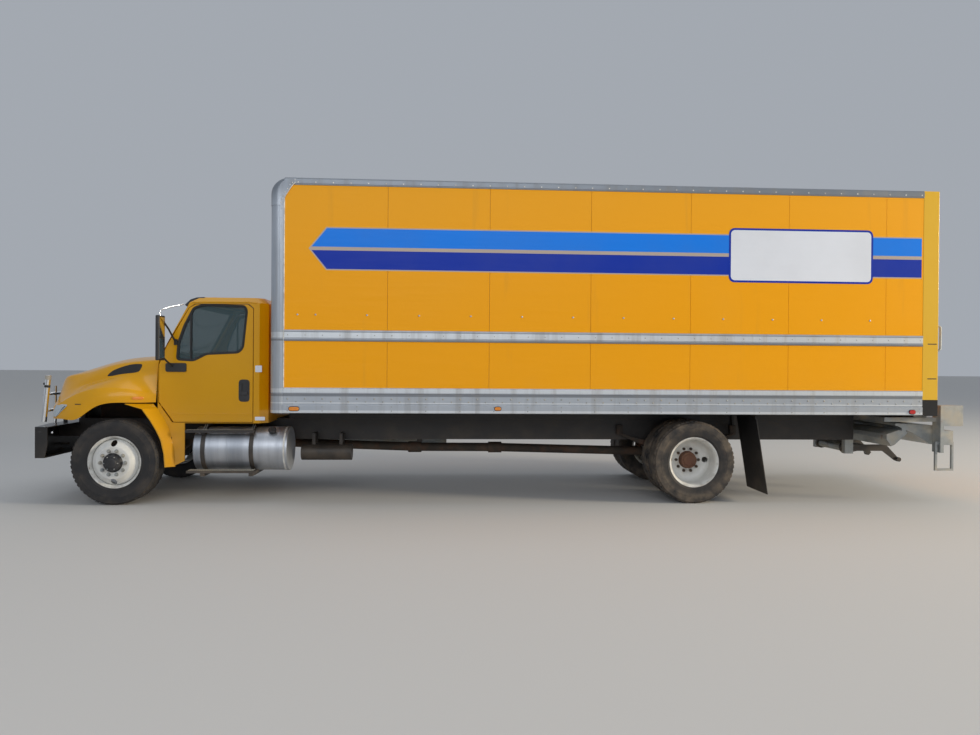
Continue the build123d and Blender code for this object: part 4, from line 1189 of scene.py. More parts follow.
# The rim seen from outside: rolled lip, bead seat and drop well.
barrel = [(0.306, rim_lip - 0.010), (0.3085, rim_lip - 0.002), (0.306, rim_lip + 0.001),
          (0.297, rim_lip - 0.001), (0.289, rim_lip - 0.012), (0.281, rim_lip - 0.022),
          (0.274, rim_lip - 0.040), (0.272, 0.045)]
front_disc = [(0.270, 0.075), (0.262, 0.090), (0.250, 0.104), (0.232, 0.122), (0.212, 0.142), (0.196, 0.155),
              (0.186, 0.160), (0.114, 0.160)]
front_disc_back = [(r - 0.001 if r < 0.27 else r, y - disc_plate) for r, y in reversed(front_disc)]
front_inner_lip = [(0.2745, -0.05), (0.281, -0.09), (0.289, -0.110), (0.306, -0.121), (0.3085, -0.117),
                   (0.306, -0.108), (0.292, -0.098), (0.2865, -0.05), (0.2865, 0.05), (0.292, 0.098)]
front_hub = [(0.0, 0.2315), (0.045, 0.2310), (0.058, 0.2270), (0.0645, 0.2200), (0.068, 0.2130),
             (0.088, 0.2100), (0.094, 0.2050), (0.098, 0.1800), (0.104, 0.1690), (0.112, 0.1640),
             (0.114, 0.150)]
front_drum = [(0.112, 0.148), (0.112, -0.008), (0.205, -0.01), (0.205, -0.105), (0.05, -0.105)]
rear_dish = [(0.2715, 0.070), (0.266, 0.052), (0.254, 0.034), (0.236, 0.020), (0.214, 0.013),
             (0.196, 0.0125), (0.100, 0.0125), (0.100, 0.0015), (0.222, 0.0015), (0.262, 0.022),
             (0.2745, 0.050), (0.281, 0.058), (0.289, 0.058), (0.306, 0.047), (0.3085, 0.050),
             (0.306, 0.060), (0.292, 0.070), (0.2865, 0.118), (0.2865, 0.218), (0.292, 0.266)]
rear_hub = [(0.0, 0.112), (0.055, 0.112), (0.066, 0.108), (0.074, 0.098), (0.094, 0.095), (0.0985, 0.090),
            (0.0995, 0.040), (0.103, 0.014), (0.110, 0.0126)]
rear_drum = [(0.110, -0.012), (0.112, -0.058), (0.203, -0.060), (0.205, -0.070), (0.205, -0.228),
             (0.05, -0.230)]


def closed_mesh(draft, name, corner=0.0):
    """A plain closed mesh from a draft, with widely broken corners when asked."""
    mesh = mesh_of(name, draft.points, draft.faces)
    with reshaped(mesh) as shape:
        weld(shape)
        if corner:
            break_corners(shape, corner, corner_segments)
    return mesh


def drilled(draft, spots, low, high):
    """The draft's mesh with round hand holes bored through it along Y at the (X, Z) spots."""
    bits = Draft()
    for x, z in spots:
        bits.tube([(x, low, z), (x, high, z)], hand_hole_radius, 24)
    disc, bit = (linked(name, closed_mesh(form, name)) for name, form in (("disc", draft), ("bit", bits)))
    bore = disc.modifiers.new("bore", "BOOLEAN")
    bore.operation, bore.solver, bore.object = "DIFFERENCE", "EXACT", bit
    mesh = evaluated_mesh(disc)
    bpy.data.objects.remove(disc)
    bpy.data.objects.remove(bit)
    return mesh


def bolts(middle, out, circle, count, sides, radius, height):
    """Settings of a ring of nuts this far along Y from a wheel's middle."""
    return {"Centre": Vector(middle) + Vector((0, out, 0)), "Circle": circle, "Count": count,
            "Sides": sides, "Radius": radius, "Height": height}


def front_wheel(side, name):
    body = name + "_front_wheel"
    centre = (axle_x, side * front_wheel_y, wheel_radius)
    build_tyre(name + "_front_tyre_rubber", body, centre)
    section = outwards(barrel + front_disc + front_disc_back + front_inner_lip, side)
    rim = Draft().lathe(section, centre, round_sides, closed=True)
    spots = [(axle_x, wheel_radius - hand_hole_circle), (axle_x, wheel_radius + hand_hole_circle)]
    bored = drilled(rim, spots, side * 1.11, side * 1.23)
    finish_piece(bored, name + "_front_rim_steel", wheel_white, body=body)
    hub = Draft().lathe(outwards(front_hub, side), centre, hub_sides)
    hub.lathe(outwards(front_drum, side), centre, hub_sides)
    hub_piece = hub.piece(name + "_front_hub", plastic, 0.0015, body=body)
    nut_ring.grow(name + "_front_nuts", gate_steel, [
        bolts(centre, side * 0.172, nut_circle, 10, 6, nut_radius, 0.026),
        bolts(centre, side * 0.186, nut_circle, 10, *stud_size)], body)
    nut_ring.grow(name + "_front_bolts", gate_steel, [
        bolts(centre, side * 0.1615, nut_circle, 10, 20, 0.022, 0.005),
        bolts(centre, side * 0.2125, 0.079, 6, 6, 0.0075, 0.010)], body)
    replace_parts(hub_piece, name + "_front_rim", name + "_front_tyre")


def rear_wheels(side, name):
    body = name + "_rear_wheels"
    middle = (rear_axle_x, side * rear_wheel_y, wheel_radius)
    for place, offset in (("outer", rear_wheel_half_gap), ("inner", -rear_wheel_half_gap)):
        centre = (middle[0], middle[1] + side * offset, middle[2])
        build_tyre(f"{name}_{place}_rear_tyre_rubber", body, centre)
    rims = Draft()
    section = [(r, rear_wheel_half_gap + y) for r, y in barrel] + rear_dish
    for turn in (side, -side):
        rims.lathe(outwards(section, turn), middle, round_sides, closed=True)
    spots = [(rear_axle_x - hand_hole_circle, wheel_radius), (rear_axle_x + hand_hole_circle, wheel_radius)]
    bored = drilled(rims, spots, side * 0.85, side * 0.97)
    rims_piece = finish_piece(bored, name + "_rear_rims_steel", wheel_white, body=body)
    hub = Draft().lathe(outwards(rear_hub, side), middle, hub_sides)
    hub.lathe(outwards(rear_drum, side), middle, hub_sides)
    hub.piece(name + "_rear_hub", hub_rust, 0.0015, body=body)
    nut_ring.grow(name + "_rear_flange_bolts", hub_rust, [
        bolts(middle, side * 0.098, 0.083, 8, 6, 0.0085, 0.014)], body)
    nut_ring.grow(name + "_rear_nuts", iron, [
        bolts(middle, side * 0.026, nut_circle, 10, 6, nut_radius, 0.027),
        bolts(middle, side * 0.042, nut_circle, 10, *stud_size)], body)
    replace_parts(rims_piece, name + "_rear_rims", name + "_rear_tyres")


for side, name in ((-1, "left"), (1, "right")):
    front_wheel(side, name)
    rear_wheels(side, name)

# %% [markdown]
# The van body is sheets on posts. Each side is six full sheets and a short one that meet in thin
# seams, held between an aluminium bottom rail, a rub rail half way up and a top rail. The rails are
# extrusions, so each is one profile drawn once and pulled along the truck. The left side is drawn and
# then mirrored, because the two sides are the same.

# %% Box side sheets
wall_low, wall_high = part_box("box_left_wall")
wall_front, wall_rear = at(1.985), wall_high.x
sheet_outside = 1.2965
sheet_inside = 1.272
seam_stations = [1.985, 3.19, 4.40, 5.62, 6.84, 8.06, 9.29, 9.765]
seam_half = 0.0015
rail_face = -wall_low.y
rail_foot = 1.0995

bottom_rail = [
    (1.268, rail_foot), (1.300, rail_foot), (rail_face, 1.106), (rail_face, 1.196), (1.3035, 1.201),
    (1.3035, 1.203), (1.3000, 1.204), (1.3000, 1.209), (1.3035, 1.210), (1.3035, 1.327), (rail_face, 1.333),
    (rail_face, 1.389), (1.3035, 1.395), (1.2975, 1.395), (1.2975, 1.400), (1.268, 1.400)]
middle_rail = [
    (1.290, 1.949), (1.304, 1.949), (rail_face, 1.953), (rail_face, 1.972), (1.305, 1.976), (1.302, 1.979),
    (1.302, 1.985), (1.305, 1.988), (1.305, 2.052), (1.302, 2.056), (rail_face, 2.061), (rail_face, 2.077),
    (1.304, 2.081), (1.290, 2.081)]
top_rail = [
    (1.268, 3.779), (1.2975, 3.779), (1.304, 3.783), (1.304, 3.792), (rail_face, 3.797), (rail_face, 3.848),
    (1.305, 3.859), (1.296, 3.8665), (1.225, 3.8665), (1.225, 3.860), (1.268, 3.860)]

sheet_draft, rail_draft = Draft(), Draft()
for front, rear in zip(seam_stations, seam_stations[1:]):
    sheet_draft.box((at(front) + seam_half, sheet_inside, 1.15), (at(rear) - seam_half, sheet_outside, 3.81))
sheets = sheet_draft.pair("box_side_sheets", box_yellow, 0.0012)
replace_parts(sheets, "box_left_wall", "box_right_wall")
for profile in (bottom_rail, middle_rail, top_rail):
    rail_draft.prism(profile, "x", wall_front, wall_rear)
rail_draft.pair("box_side_rails", rail_aluminium, 0.0008, 1)
Draft().box((at(1.95), 1.2665, 1.292), (wall_rear, 1.2715, 3.82)).pair("box_liner", liner, 0.001)

# %% [markdown]
# Rivets are the scale of the thing: without them a rail could be a ruler or a building. Every row is
# one line of settings, and both sides come from the same list. The stripes have no seam rivets.

# %% Box side rivets
across = Vector((1, -1, 1))


def riveted(name, finish, rows):
    """Rows of rivets, each followed by its twin on the other side of the truck."""
    both = []
    for row in rows:
        both += [row, {**row, "Start": row["Start"] * across, "Step": row["Step"] * across}]
    rivet_row.grow(name, finish, both)


def along_side(height, out, pitch, radius, front=2.03, rear=9.73):
    return rivets((at(front), out, height), (at(rear), out, height), pitch, radius)


def upright(x, y, low, high, pitch, radius, squash=bulge):
    return rivets((x, y, low), (x, y, high), pitch, radius, squash)


riveted("box_rail_rivets", gate_steel, [
    along_side(1.270, 1.3035, 0.205, 0.0105), along_side(1.236, 1.3035, 0.205, 0.0095, 2.13, 9.63),
    along_side(1.178, rail_face, 0.41, 0.007), along_side(1.128, rail_face, 0.41, 0.007),
    along_side(2.020, 1.305, 0.205, 0.0065)])
seam_rows = [upright(at(station + step), sheet_outside, low, high, 0.102, 0.0045)
             for station in seam_stations[1:-1] for step in (-0.016, 0.016)
             for low, high in ((1.43, 1.93), (2.10, 2.77), (3.31, 3.76))]
seam_rows += [upright(at(9.747), sheet_outside, low, high, 0.076, 0.0055)
              for low, high in ((1.43, 1.93), (2.10, 3.76))]
riveted("box_seam_rivets", box_yellow, seam_rows)
riveted("box_post_bolts", rail_aluminium, [along_side(2.26, sheet_outside, 0.21, 0.011, 2.14, 2.35),
                                           along_side(2.26, sheet_outside, 0.614, 0.011, 2.95, 9.09)])

# %% [markdown]
# The two blue stripes and the panel that interrupts them are printed film. Each is a real sheet less
# than a millimetre thick, so that its edge shows up close, and the panel is left blank.

# %% Stripes and the blank panel
film_thickness = 0.0006
film_sunk = 0.0004
stripe_end = 9.742
stripe_tip, stripe_full = 2.283, 2.478
stripe_low, stripe_middle, stripe_high = 2.80, 3.04, 3.28
gap_half = 0.021
rim = 0.014
upper_edge, lower_edge = stripe_middle + gap_half, stripe_middle - gap_half


def side_film(name, outline, finish, layer):
    """A film on both sides; layers lie on each other."""
    low = sheet_outside + layer * film_thickness
    Draft().side_plate(outline, low - film_sunk, low + film_thickness).pair(name, finish)


def arrow_slope(height):
    """X of the arrow's slanted edge at this height."""
    share = abs(height - stripe_middle) / (stripe_high - stripe_middle)
    return stripe_tip + (stripe_full - stripe_tip) * share


side_film("stripe_outline", [
    (stripe_tip - rim * 1.3, stripe_middle), (stripe_full - rim * 0.6, stripe_high + rim),
    (stripe_end, stripe_high + rim), (stripe_end, stripe_low - rim),
    (stripe_full - rim * 0.6, stripe_low - rim)], film_edge, 0)
side_film("stripe_upper", [(arrow_slope(upper_edge), upper_edge), (stripe_full, stripe_high),
                           (stripe_end, stripe_high), (stripe_end, upper_edge)], film_light_blue, 1)
side_film("stripe_lower", [(arrow_slope(lower_edge), lower_edge), (stripe_end, lower_edge),
                           (stripe_end, stripe_low), (stripe_full, stripe_low)], film_dark_blue, 1)
side_film("blank_panel_border", rounded(7.31, 9.12, 2.71, 3.37, 0.07, 6), film_dark_blue, 2)
side_film("blank_panel", rounded(7.335, 9.095, 2.735, 3.345, 0.05, 6), film_white, 3)

# %% [markdown]
# The front corners are rounded aluminium posts that end in cast caps. A cap is the same corner bent
# over twice, so its net is swept: rows follow the curve of the top edge and columns go round the
# corner. Its inner edge curves back over the roof. White beads along the edges of post and cap, and
# white rivet heads along the cap and top rail, are painted highlights.

# %% Box front
front_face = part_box("box_front_wall")[0].x
corner_radius = 0.110
cap_radius = 0.185
cap_base = 3.540
cap_wall = 0.006
cap_rear = 2.121
cap_half = 1.02
post_rear = 1.985
post_out = 1.3015
post_wall = 0.006
post_end = post_out - corner_radius - 0.075
box_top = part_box("box_roof")[1].z + 0.0015
bend_start = box_top - cap_radius
bend_steps = 8
cap_edge_points = [(3.531, 1.957), (3.650, 1.995), (3.771, 2.072), (3.821, cap_rear)]


def corner_plan(front, out, radius, rear, end):
    """From the side flange round the corner to the front, as (X, Y) points."""
    return [(rear, out)] + arc((front + radius, out - radius), radius, 90, 180, bend_steps) + [(front, end)]


def corner_posts():
    """A bent aluminium post at each front corner, with a raised rivet flange beside the sheets."""
    front = front_face + 0.002
    outer = corner_plan(front, post_out, corner_radius, at(post_rear), post_end)
    inner = corner_plan(front + post_wall, 1.2955, corner_radius - post_wall, at(post_rear), post_end)
    draft = Draft().prism(outer + list(reversed(inner)), "z", rail_foot, cap_base + 0.105)
    flange = placed([(1.928, 1.3012), (1.932, 1.3045), (1.966, 1.3045), (1.970, 1.3012)])
    highlight_bead = placed([(1.976, 1.3010), (1.978, 1.3060), (1.987, 1.3060), (1.9895, 1.2975)])
    draft.prism(flange, "z", rail_foot, cap_base)
    # Painted highlights: white beads down the post's edge, for the light it catches.
    Draft().prism(highlight_bead, "z", 1.402, 3.62).pair("box_post_beads", wheel_white, 0.001, 1)
    draft.pair("box_corner_posts", rail_aluminium, 0.001, 1)


def cap_edge(height):
    """X of the cap's inner edge at this height."""
    for (low, near), (high, far) in zip(cap_edge_points, cap_edge_points[1:]):
        if height <= high:
            return at(near + (far - near) * (height - low) / (high - low))
    return at(cap_rear)


def corner_caps():
    """A cap at each upper front corner, cut back to its curved inner edge."""
    points = []
    profile = [(front_face, cap_base + (bend_start - cap_base) * step / 4) for step in range(5)]
    profile += arc((front_face + cap_radius, bend_start), cap_radius, 180, 90, bend_steps)[1:]
    for front, z in profile:
        plan = corner_plan(front, rail_face - 0.0008, corner_radius, cap_edge(z), cap_half)
        points += [(x, y, z) for x, y in plan]
    columns = len(points) // len(profile)
    faces = grid_faces(len(profile), columns, False, False)
    faces.append(tuple(range(len(points) - columns, len(points))))
    mesh = thicken(mesh_of("box_corner_caps", points, faces), cap_wall)
    caps = Draft().add(*points_and_faces(mesh))
    # Painted highlights: white beads along the cap's inner edge.
    line = [(cap_edge(z), rail_face - 0.002, z) for front, z in profile if 3.60 < z < 3.83]
    Draft().tube(line, 0.0045, 8).pair("box_cap_beads", wheel_white)
    caps.pair("box_corner_caps", rail_aluminium)


def front_sheets():
    """Front wall sheets between the corner posts, and the bent rail over them."""
    draft = Draft()
    for low, high in ((-1.19, -0.6015), (-0.5985, -0.0015), (0.0015, 0.5985), (0.6015, 1.19)):
        draft.box((front_face + 0.006, low, 1.10), (front_face + 0.030, high, bend_start + 0.01))
    piece = draft.piece("box_front_sheets", box_yellow, 0.001)
    middle = (front_face + cap_radius, bend_start)
    rail = [(front_face, cap_base + 0.04)] + arc(middle, cap_radius, 180, 90, bend_steps)
    rail += [(at(cap_rear), box_top), (at(cap_rear), box_top - 0.02)]
    rail += arc(middle, cap_radius - 0.02, 90, 180, bend_steps) + [(front_face + 0.02, cap_base + 0.04)]
    Draft().prism(rail, "y", -cap_half, cap_half).piece("box_front_top_rail", rail_aluminium, 0.001, 1)
    return piece


corner_posts()
corner_caps()
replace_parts(front_sheets(), "box_front_wall")
forward = (0.5, 1, 1)
# Painted glints: white rivet heads on the cap and top rail, for the sun catching them.
riveted("box_glint_rivets", wheel_white, [
    rivets((at(1.945), rail_face, 3.570), (at(1.968), rail_face, 3.645), 0.04, 0.007),
    rivets((at(1.990), rail_face, 3.690), (at(2.048), rail_face, 3.775), 0.045, 0.007),
    rivets((at(2.075), rail_face, 3.806), (at(2.105), rail_face, 3.838), 0.045, 0.007),
    along_side(3.812, rail_face, 0.205, 0.0085, 2.14)])
riveted("box_front_rivets", rail_aluminium, [
    upright(at(1.949), 1.3045, 1.14, 3.50, 0.102, 0.0065),
    upright(front_face + 0.002, 1.150, 1.14, 3.50, 0.102, 0.0065, forward)])
riveted("box_front_seam_rivets", box_yellow, [
    upright(front_face + 0.006, seam, 1.14, 3.50, 0.102, 0.0045, forward) for seam in (0.016, 0.584, 0.616)])

# %% [markdown]
# The roof is one skin over bows. From above it shows as a pale sheet with a shallow ridge at each
# bow. Below the sheets, oak boards lie on steel beams with the same pitch as the bows.

# %% Roof and deck
bow_pitch = 0.61
bow_count = 13
roof_half = 1.228
board_pitch, board_count = 0.1275, 20
board_width, board_thickness = 0.126, 0.031


def roof():
    profile = [(-roof_half, box_top - 0.012), (-0.6, box_top - 0.006), (0, box_top - 0.004),
               (0.6, box_top - 0.006), (roof_half, box_top - 0.012), (roof_half, box_top - 0.020),
               (-roof_half, box_top - 0.020)]
    piece = Draft().prism(profile, "x", at(2.10), wall_rear).piece("box_roof_skin", liner)
    slat_row.grow("box_roof_bows", liner, [slats(
        (at(2.40), 0, box_top - 0.0095), (bow_pitch, 0, 0), bow_count, (0.045, 2.2, 0.013))])
    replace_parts(piece, "box_roof")


def deck():
    front = at(1.93)
    piece = slat_row.grow("deck_boards", planks, [slats(
        ((front + wall_rear) / 2, -1.2075, 1.2745), (0, board_pitch, 0), board_count,
        (wall_rear - front, board_width, board_thickness))])
    draft = Draft()
    for x in [at(2.05 + index * bow_pitch) for index in range(bow_count)]:
        for width, low, high in ((0.006, 1.120, 1.258), (0.055, 1.120, 1.126), (0.055, 1.252, 1.258)):
            draft.box((x, -1.26, low), (x + width, 1.26, high))
    beams = draft.piece("deck_beams", frame_black, 0.002)
    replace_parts(beams, "floor_beams")
    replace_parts(piece, "box_floor")


roof()
deck()

# %% [markdown]
# Marker lamps sit in rubber rings on both bottom rails: amber at the front and in the middle, red at
# the rear.

# %% Side lamps
lamp_out = 1.3085
ring_width = 0.007


def side_lamp(name, x0, x1, z0, z1, finish):
    radius = (z1 - z0) / 2 - 0.0005
    ring = rounded(x0 - ring_width, x1 + ring_width, z0 - ring_width, z1 + ring_width, radius + 0.006)
    lens = rounded(x0, x1, z0, z1, radius)
    Draft().side_plate(ring, lamp_out, lamp_out + 0.005).pair(name + "_ring", rubber_seal, 0.0015)
    Draft().side_plate(lens, lamp_out, lamp_out + 0.014).pair(name + "_lens", finish, 0.006, 3)


side_lamp("front_side_marker", 2.05, 2.166, 1.130, 1.174, lens_amber)
side_lamp("middle_side_marker", 4.47, 4.545, 1.140, 1.180, lens_amber)
side_lamp("rear_side_marker", 9.594, 9.67, 1.117, 1.163, lens_red)

# %% [markdown]
# The rear frame is a welded steel portal. Its posts are folded channels with short slots for straps,
# a header carries the clearance lamps, and a black sill takes the knocks from loading docks.

# %% Rear frame
portal_front, portal_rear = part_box("rear_frame")[0].x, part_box("rear_frame")[1].x
portal_low, portal_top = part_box("rear_frame")[0].z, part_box("rear_frame")[1].z - 0.0005
portal_half = 1.2985
sill_top = 1.289
doorway_half, doorway_top = 1.18, 3.62
header_lamps = 3.74


def rear_portal():
    inside, back = doorway_half + 0.012, portal_rear - 0.05
    fold = [(portal_front, portal_half), (portal_rear - 0.004, portal_half), (portal_rear, 1.2940),
            (portal_rear, doorway_half), (back, doorway_half), (back, inside), (portal_front + 0.01, inside),
            (portal_front, doorway_half + 0.02)]
    draft = Draft().prism(fold, "z", sill_top, portal_top).both_sides()
    draft.box((portal_front, -doorway_half, doorway_top), (portal_rear, doorway_half, portal_top))
    draft.box((portal_rear - 0.012, -doorway_half, doorway_top - 0.006),
              (portal_rear + 0.001, doorway_half, doorway_top))
    return draft.piece("rear_portal_steel", portal_yellow, 0.003)


rear_portal_piece = rear_portal()
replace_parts(rear_portal_piece, "rear_frame")
sill = Draft().box((portal_front, -portal_half, portal_low), (portal_rear, portal_half, sill_top))
sill.box((portal_rear - 0.002, -1.16, sill_top - 0.006), (portal_rear + 0.006, 1.16, sill_top + 0.004))
sill.piece("rear_sill", bumper_black, 0.003)
slots = Draft()
for height in (1.55, 1.98):
    slots.box((at(9.83), 1.2975, height - 0.006), (at(9.945), 1.2995, height + 0.006))
slots.pair("rear_post_slots", rubber_seal, 0.001)
grip, foot = at(10.025), portal_rear - 0.002
handle = [(foot, -1.25, 1.905), (grip - 0.02, -1.25, 1.905), (grip, -1.25, 1.925), (grip, -1.25, 2.185),
          (grip - 0.02, -1.25, 2.205), (foot, -1.25, 2.205)]
Draft().tube(handle, 0.013, 12).piece("rear_grab_handle", gate_steel)

# %% [markdown]
# The roll-up door is six panels with small gaps between them, hinges across each gap and one latch.
# The lamps of sill and header are turned domes in rubber rings.

# %% Roll-up door and rear lamps
door_low, door_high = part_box("rollup_door")
panel_count = 6
panel_height = (door_high.z - door_low.z) / panel_count
sill_lamp_radius, header_lamp_radius = 0.055, 0.032


def rollup_panels():
    draft = Draft()
    back, edge = door_high.x, door_high.x - 0.004
    for low in [door_low.z + row * panel_height for row in range(panel_count)]:
        high = low + panel_height
        profile = [(door_low.x, low + 0.001), (edge, low + 0.001), (back, low + 0.005),
                   (back, high - 0.009), (edge, high - 0.005), (door_low.x, high - 0.001)]
        draft.prism(profile, "y", door_low.y, door_high.y)
    return draft.piece("rollup_door_panels", box_yellow, 0.0012)


def rear_lamps():
    red, clear, rings = Draft(), Draft(), Draft()
    sill_middle = (portal_low + sill_top) / 2
    rows = [(sill_middle, sill_lamp_radius, [(red, 1.05), (red, 0.92), (clear, 0.79)]),
            (header_lamps, header_lamp_radius, [(red, 1.10), (red, 0.15), (red, 0.0)])]
    for draft, y, z, radius in [(*lamp, z, radius) for z, radius, row in rows for lamp in row]:
        dome = [(0.0, 0.012), (radius * 0.6, 0.010), (radius * 0.9, 0.005), (radius, -0.004)]
        ring = [(radius, 0.004), (radius + 0.004, 0.006), (radius + 0.010, 0.003), (radius + 0.011, -0.003)]
        for side in (-1, 1) if y else (1,):
            for target, profile in ((draft, dome), (rings, ring)):
                target.add_moved(Draft().lathe(profile, sides=32), lambda aside, out, up: (
                    portal_rear + 0.002 + out, side * y - aside, z + up))
    red.piece("rear_red_lamps", lens_red)
    clear.piece("rear_clear_lamps", lens_clear)
    rings.piece("rear_lamp_rings", rubber_seal)


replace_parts(rollup_panels(), "rollup_door")
slat_row.grow("rollup_door_hinges", gate_steel, [
    slats((door_high.x + 0.002, y - 0.032, door_low.z + seam * panel_height - 0.002), (0, 0.032, 0), 3,
          (0.007, 0.026, 0.060)) for seam in range(1, panel_count) for y in (-0.95, -0.32, 0.32, 0.95)])
latch_x = door_high.x
latch = Draft().box((latch_x, -0.10, 1.36), (latch_x + 0.010, 0.10, 1.52))
latch.box((latch_x + 0.010, -0.022, 1.33), (latch_x + 0.022, 0.022, 1.50))
bow = ((0.004, -0.07), (0.034, -0.07), (0.034, 0.07), (0.004, 0.07))
latch.tube([(latch_x + x, y, 1.44) for x, y in bow], 0.007)
latch.box((latch_x, -1.14, 1.300), (latch_x + 0.014, 1.14, 1.330))
latch.piece("rollup_door_latch", gate_steel, 0.002)
rear_lamps()

# %% [markdown]
# The cab is a steel box with soft corners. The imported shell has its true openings, so it is kept and
# its edges are rounded more widely than on the frame, as pressed panels are. Each door is one pressed
# panel with a ridge, a rubber-framed window with a small fixed quarter pane in front and a deep
# handle. It carries its mirror, so the mirror swings with it.

# %% Cab shell, doors and mirrors
cab_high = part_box("cab_shell")[1]
dress("cab_shell", cab_yellow, 0.012, 3)
door_skin_y = 1.0
corner_share = 0.45
seal_width, seal_depth = 0.014, 0.004
seal_section = ((-seal_width, 0.0), (-seal_width * 0.8, seal_depth), (seal_width * 0.3, seal_depth),
                (seal_width, 0.0), (seal_width, -0.02), (-seal_width, -0.02))
door_window = [(.655, 1.722), (.85, 1.712), (1.0, 1.792), (1.38, 1.812), (1.432, 1.87), (1.478, 2.32),
               (1.45, 2.372), (.95, 2.38), (.85, 2.345), (.74, 2.13), (.672, 1.93)]
handle_recess = [(1.385, 1.215), (1.515, 1.215), (1.515, 1.485), (1.385, 1.485)]


def soft_outline(points, radius):
    """Rounds every corner of an (X, Z) outline with a short curve."""
    count = len(points)
    line = []
    for index in range(count):
        before, here, after = (Vector(points[(index + k) % count]) for k in (-1, 0, 1))
        first = here + (before - here).normalized() * min(radius, (before - here).length * corner_share)
        last = here + (after - here).normalized() * min(radius, (after - here).length * corner_share)
        for t in [step / 4 for step in range(5)]:
            line.append(tuple(first * (1 - t) ** 2 + here * 2 * t * (1 - t) + last * t ** 2))
    return line


window_line = soft_outline(door_window, 0.035)


def window_seal():
    """A rubber ring round the door's window."""
    count = len(window_line)
    centre_x, centre_z = (sum(numbers) / count for numbers in zip(*window_line))
    points = []
    for index, (x, z) in enumerate(window_line):
        before, after = window_line[index - 1], window_line[(index + 1) % count]
        along = Vector((after[0] - before[0], after[1] - before[1])).normalized()
        inward = Vector((-along.y, along.x))
        if inward.dot(Vector((centre_x - x, centre_z - z))) < 0:
            inward.negate()
        points += [(at(x + inward.x * shift), door_skin_y + out, z + inward.y * shift)
                   for shift, out in seal_section]
    return Draft().add(points, grid_faces(count, len(seal_section), True))


def mirror_set(side, node, body):
    """A tall rounded mirror head on bent arms, with the pad on the door that carries them."""
    head = Draft().box((at(0.543), 1.195, 1.708), (at(0.587), 1.385, 2.232))
    piece = head.facing(side).piece(node + "_head", plastic, 0.016, 4, body)
    panes = Draft()
    for low, high in ((1.985, 2.212), (1.728, 1.962)):
        panes.box((at(0.586), 1.212, low), (at(0.5885), 1.368, high))
    panes.facing(side).piece(node + "_panes", guard_chrome, 0.001, body=body)
    pad = Draft().side_plate(rounded(0.522, 0.768, 1.572, 1.678, 0.022), 1.0005, 1.014)
    pad.facing(side).piece(node + "_pad", plastic, 0.004, 3, body)
    arms = Draft()
    for path in ([(0.575, 1.25, 2.18), (0.605, 1.14, 2.08), (0.640, 1.012, 1.93)],
                 [(0.570, 1.25, 1.76), (0.585, 1.14, 1.70), (0.605, 1.012, 1.64)]):
        arms.tube(placed(path), 0.011, 12)
    arms.box((at(0.622), 1.0, 1.895), (at(0.662), 1.018, 1.965))
    arms.facing(side).piece(node + "_arms", frame_black, 0.002, body=body)
    stay = placed([(0.560, 1.28, 2.225), (0.556, 1.275, 2.29), (0.600, 1.22, 2.325), (0.745, 1.045, 2.385)])
    Draft().tube(stay, 0.007, 10).facing(side).piece(node + "_stay", guard_chrome, body=body)
    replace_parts(piece, node)


def door_details(side, hand):
    name = hand + "_door"
    skin = door_skin_y
    dress(name, cab_yellow, 0.004, 3)
    plate = Draft().side_plate(soft_outline(handle_recess, 0.045), skin - 0.004, skin + 0.004)
    plate.box((at(1.405), skin + 0.004, 1.30), (at(1.495), skin + 0.022, 1.335))
    plate.box((at(1.405), skin + 0.003, 1.335), (at(1.425), skin + 0.018, 1.44))
    bar = Draft().box((at(0.806), 0.968, 1.715), (at(0.826), 1.001, 2.30))
    ridge = Draft().box((at(0.60), skin - 0.002, 1.055), (at(1.545), skin + 0.004, 1.075))
    parts = (("_window_seal", window_seal(), rubber_seal, 0.0), ("_quarter_bar", bar, rubber_seal, 0.003),
             ("_handle", plate, plastic, 0.003), ("_ridge", ridge, cab_yellow, 0.003))
    for part, draft, finish, bevel in parts:
        draft.facing(side).piece(name + part, finish, bevel, body=name)
    wear(frame["nodes"][name + "_glass"].data, clear_pane)
    mirror_set(side, hand + "_mirror", name)


door_details(-1, "left")
door_details(1, "right")
wear(frame["nodes"]["cab_glass"].data, clear_pane)

# %% [markdown]
# Chassis pieces keep their packed form. One short table says which finish each takes and how wide
# its broken edges are, and one loop does the work.

# %% Chassis pieces
chassis_finishes = {
    "frame": (frame_black, 0.003), "frame_members": (frame_black, 0.003), "front_axle": (iron, 0.006),
    "rear_axle": (iron, 0.006), "leaf_springs": (iron, 0.002), "engine": (iron, 0.02),
    "driveline": (iron, 0.004), "radiator": (frame_black, 0.004), "battery_box": (frame_black, 0.008),
    "air_tank": (frame_black, 0.01), "exhaust": (gate_steel, 0.006), "mud_flaps": (flap_black, 0.002),
    "tank_mounts": (frame_black, 0.003), "front_bumper": (bumper_black, 0.030),
    "dashboard": (plastic, 0.015), "steering_wheel": (plastic, 0.002), "quarter_fenders": (cab_yellow, 0.004),
    "left_knuckle": (iron, 0.005), "right_knuckle": (iron, 0.005), "liftgate_frame": (gate_steel, 0.004),
    "liftgate_arms": (frame_black, 0.004), "liftgate_platform": (gate_steel, 0.004),
    "grille_guard": (guard_chrome, 0.002),
}
wide_bevel = 0.005
for node, (finish, bevel) in chassis_finishes.items():
    dress(node, finish, bevel, 3 if bevel > wide_bevel else 2)
print("chassis pieces dressed", len(chassis_finishes))

# %% [markdown]
# The fuel tank is rolled from brushed sheet, with a raised band round its middle, and closed by two
# pressed ends. A white rim on the rear one is a painted highlight for the sun on its edge. Rows of
# raised grip lie on the treads of the steps.

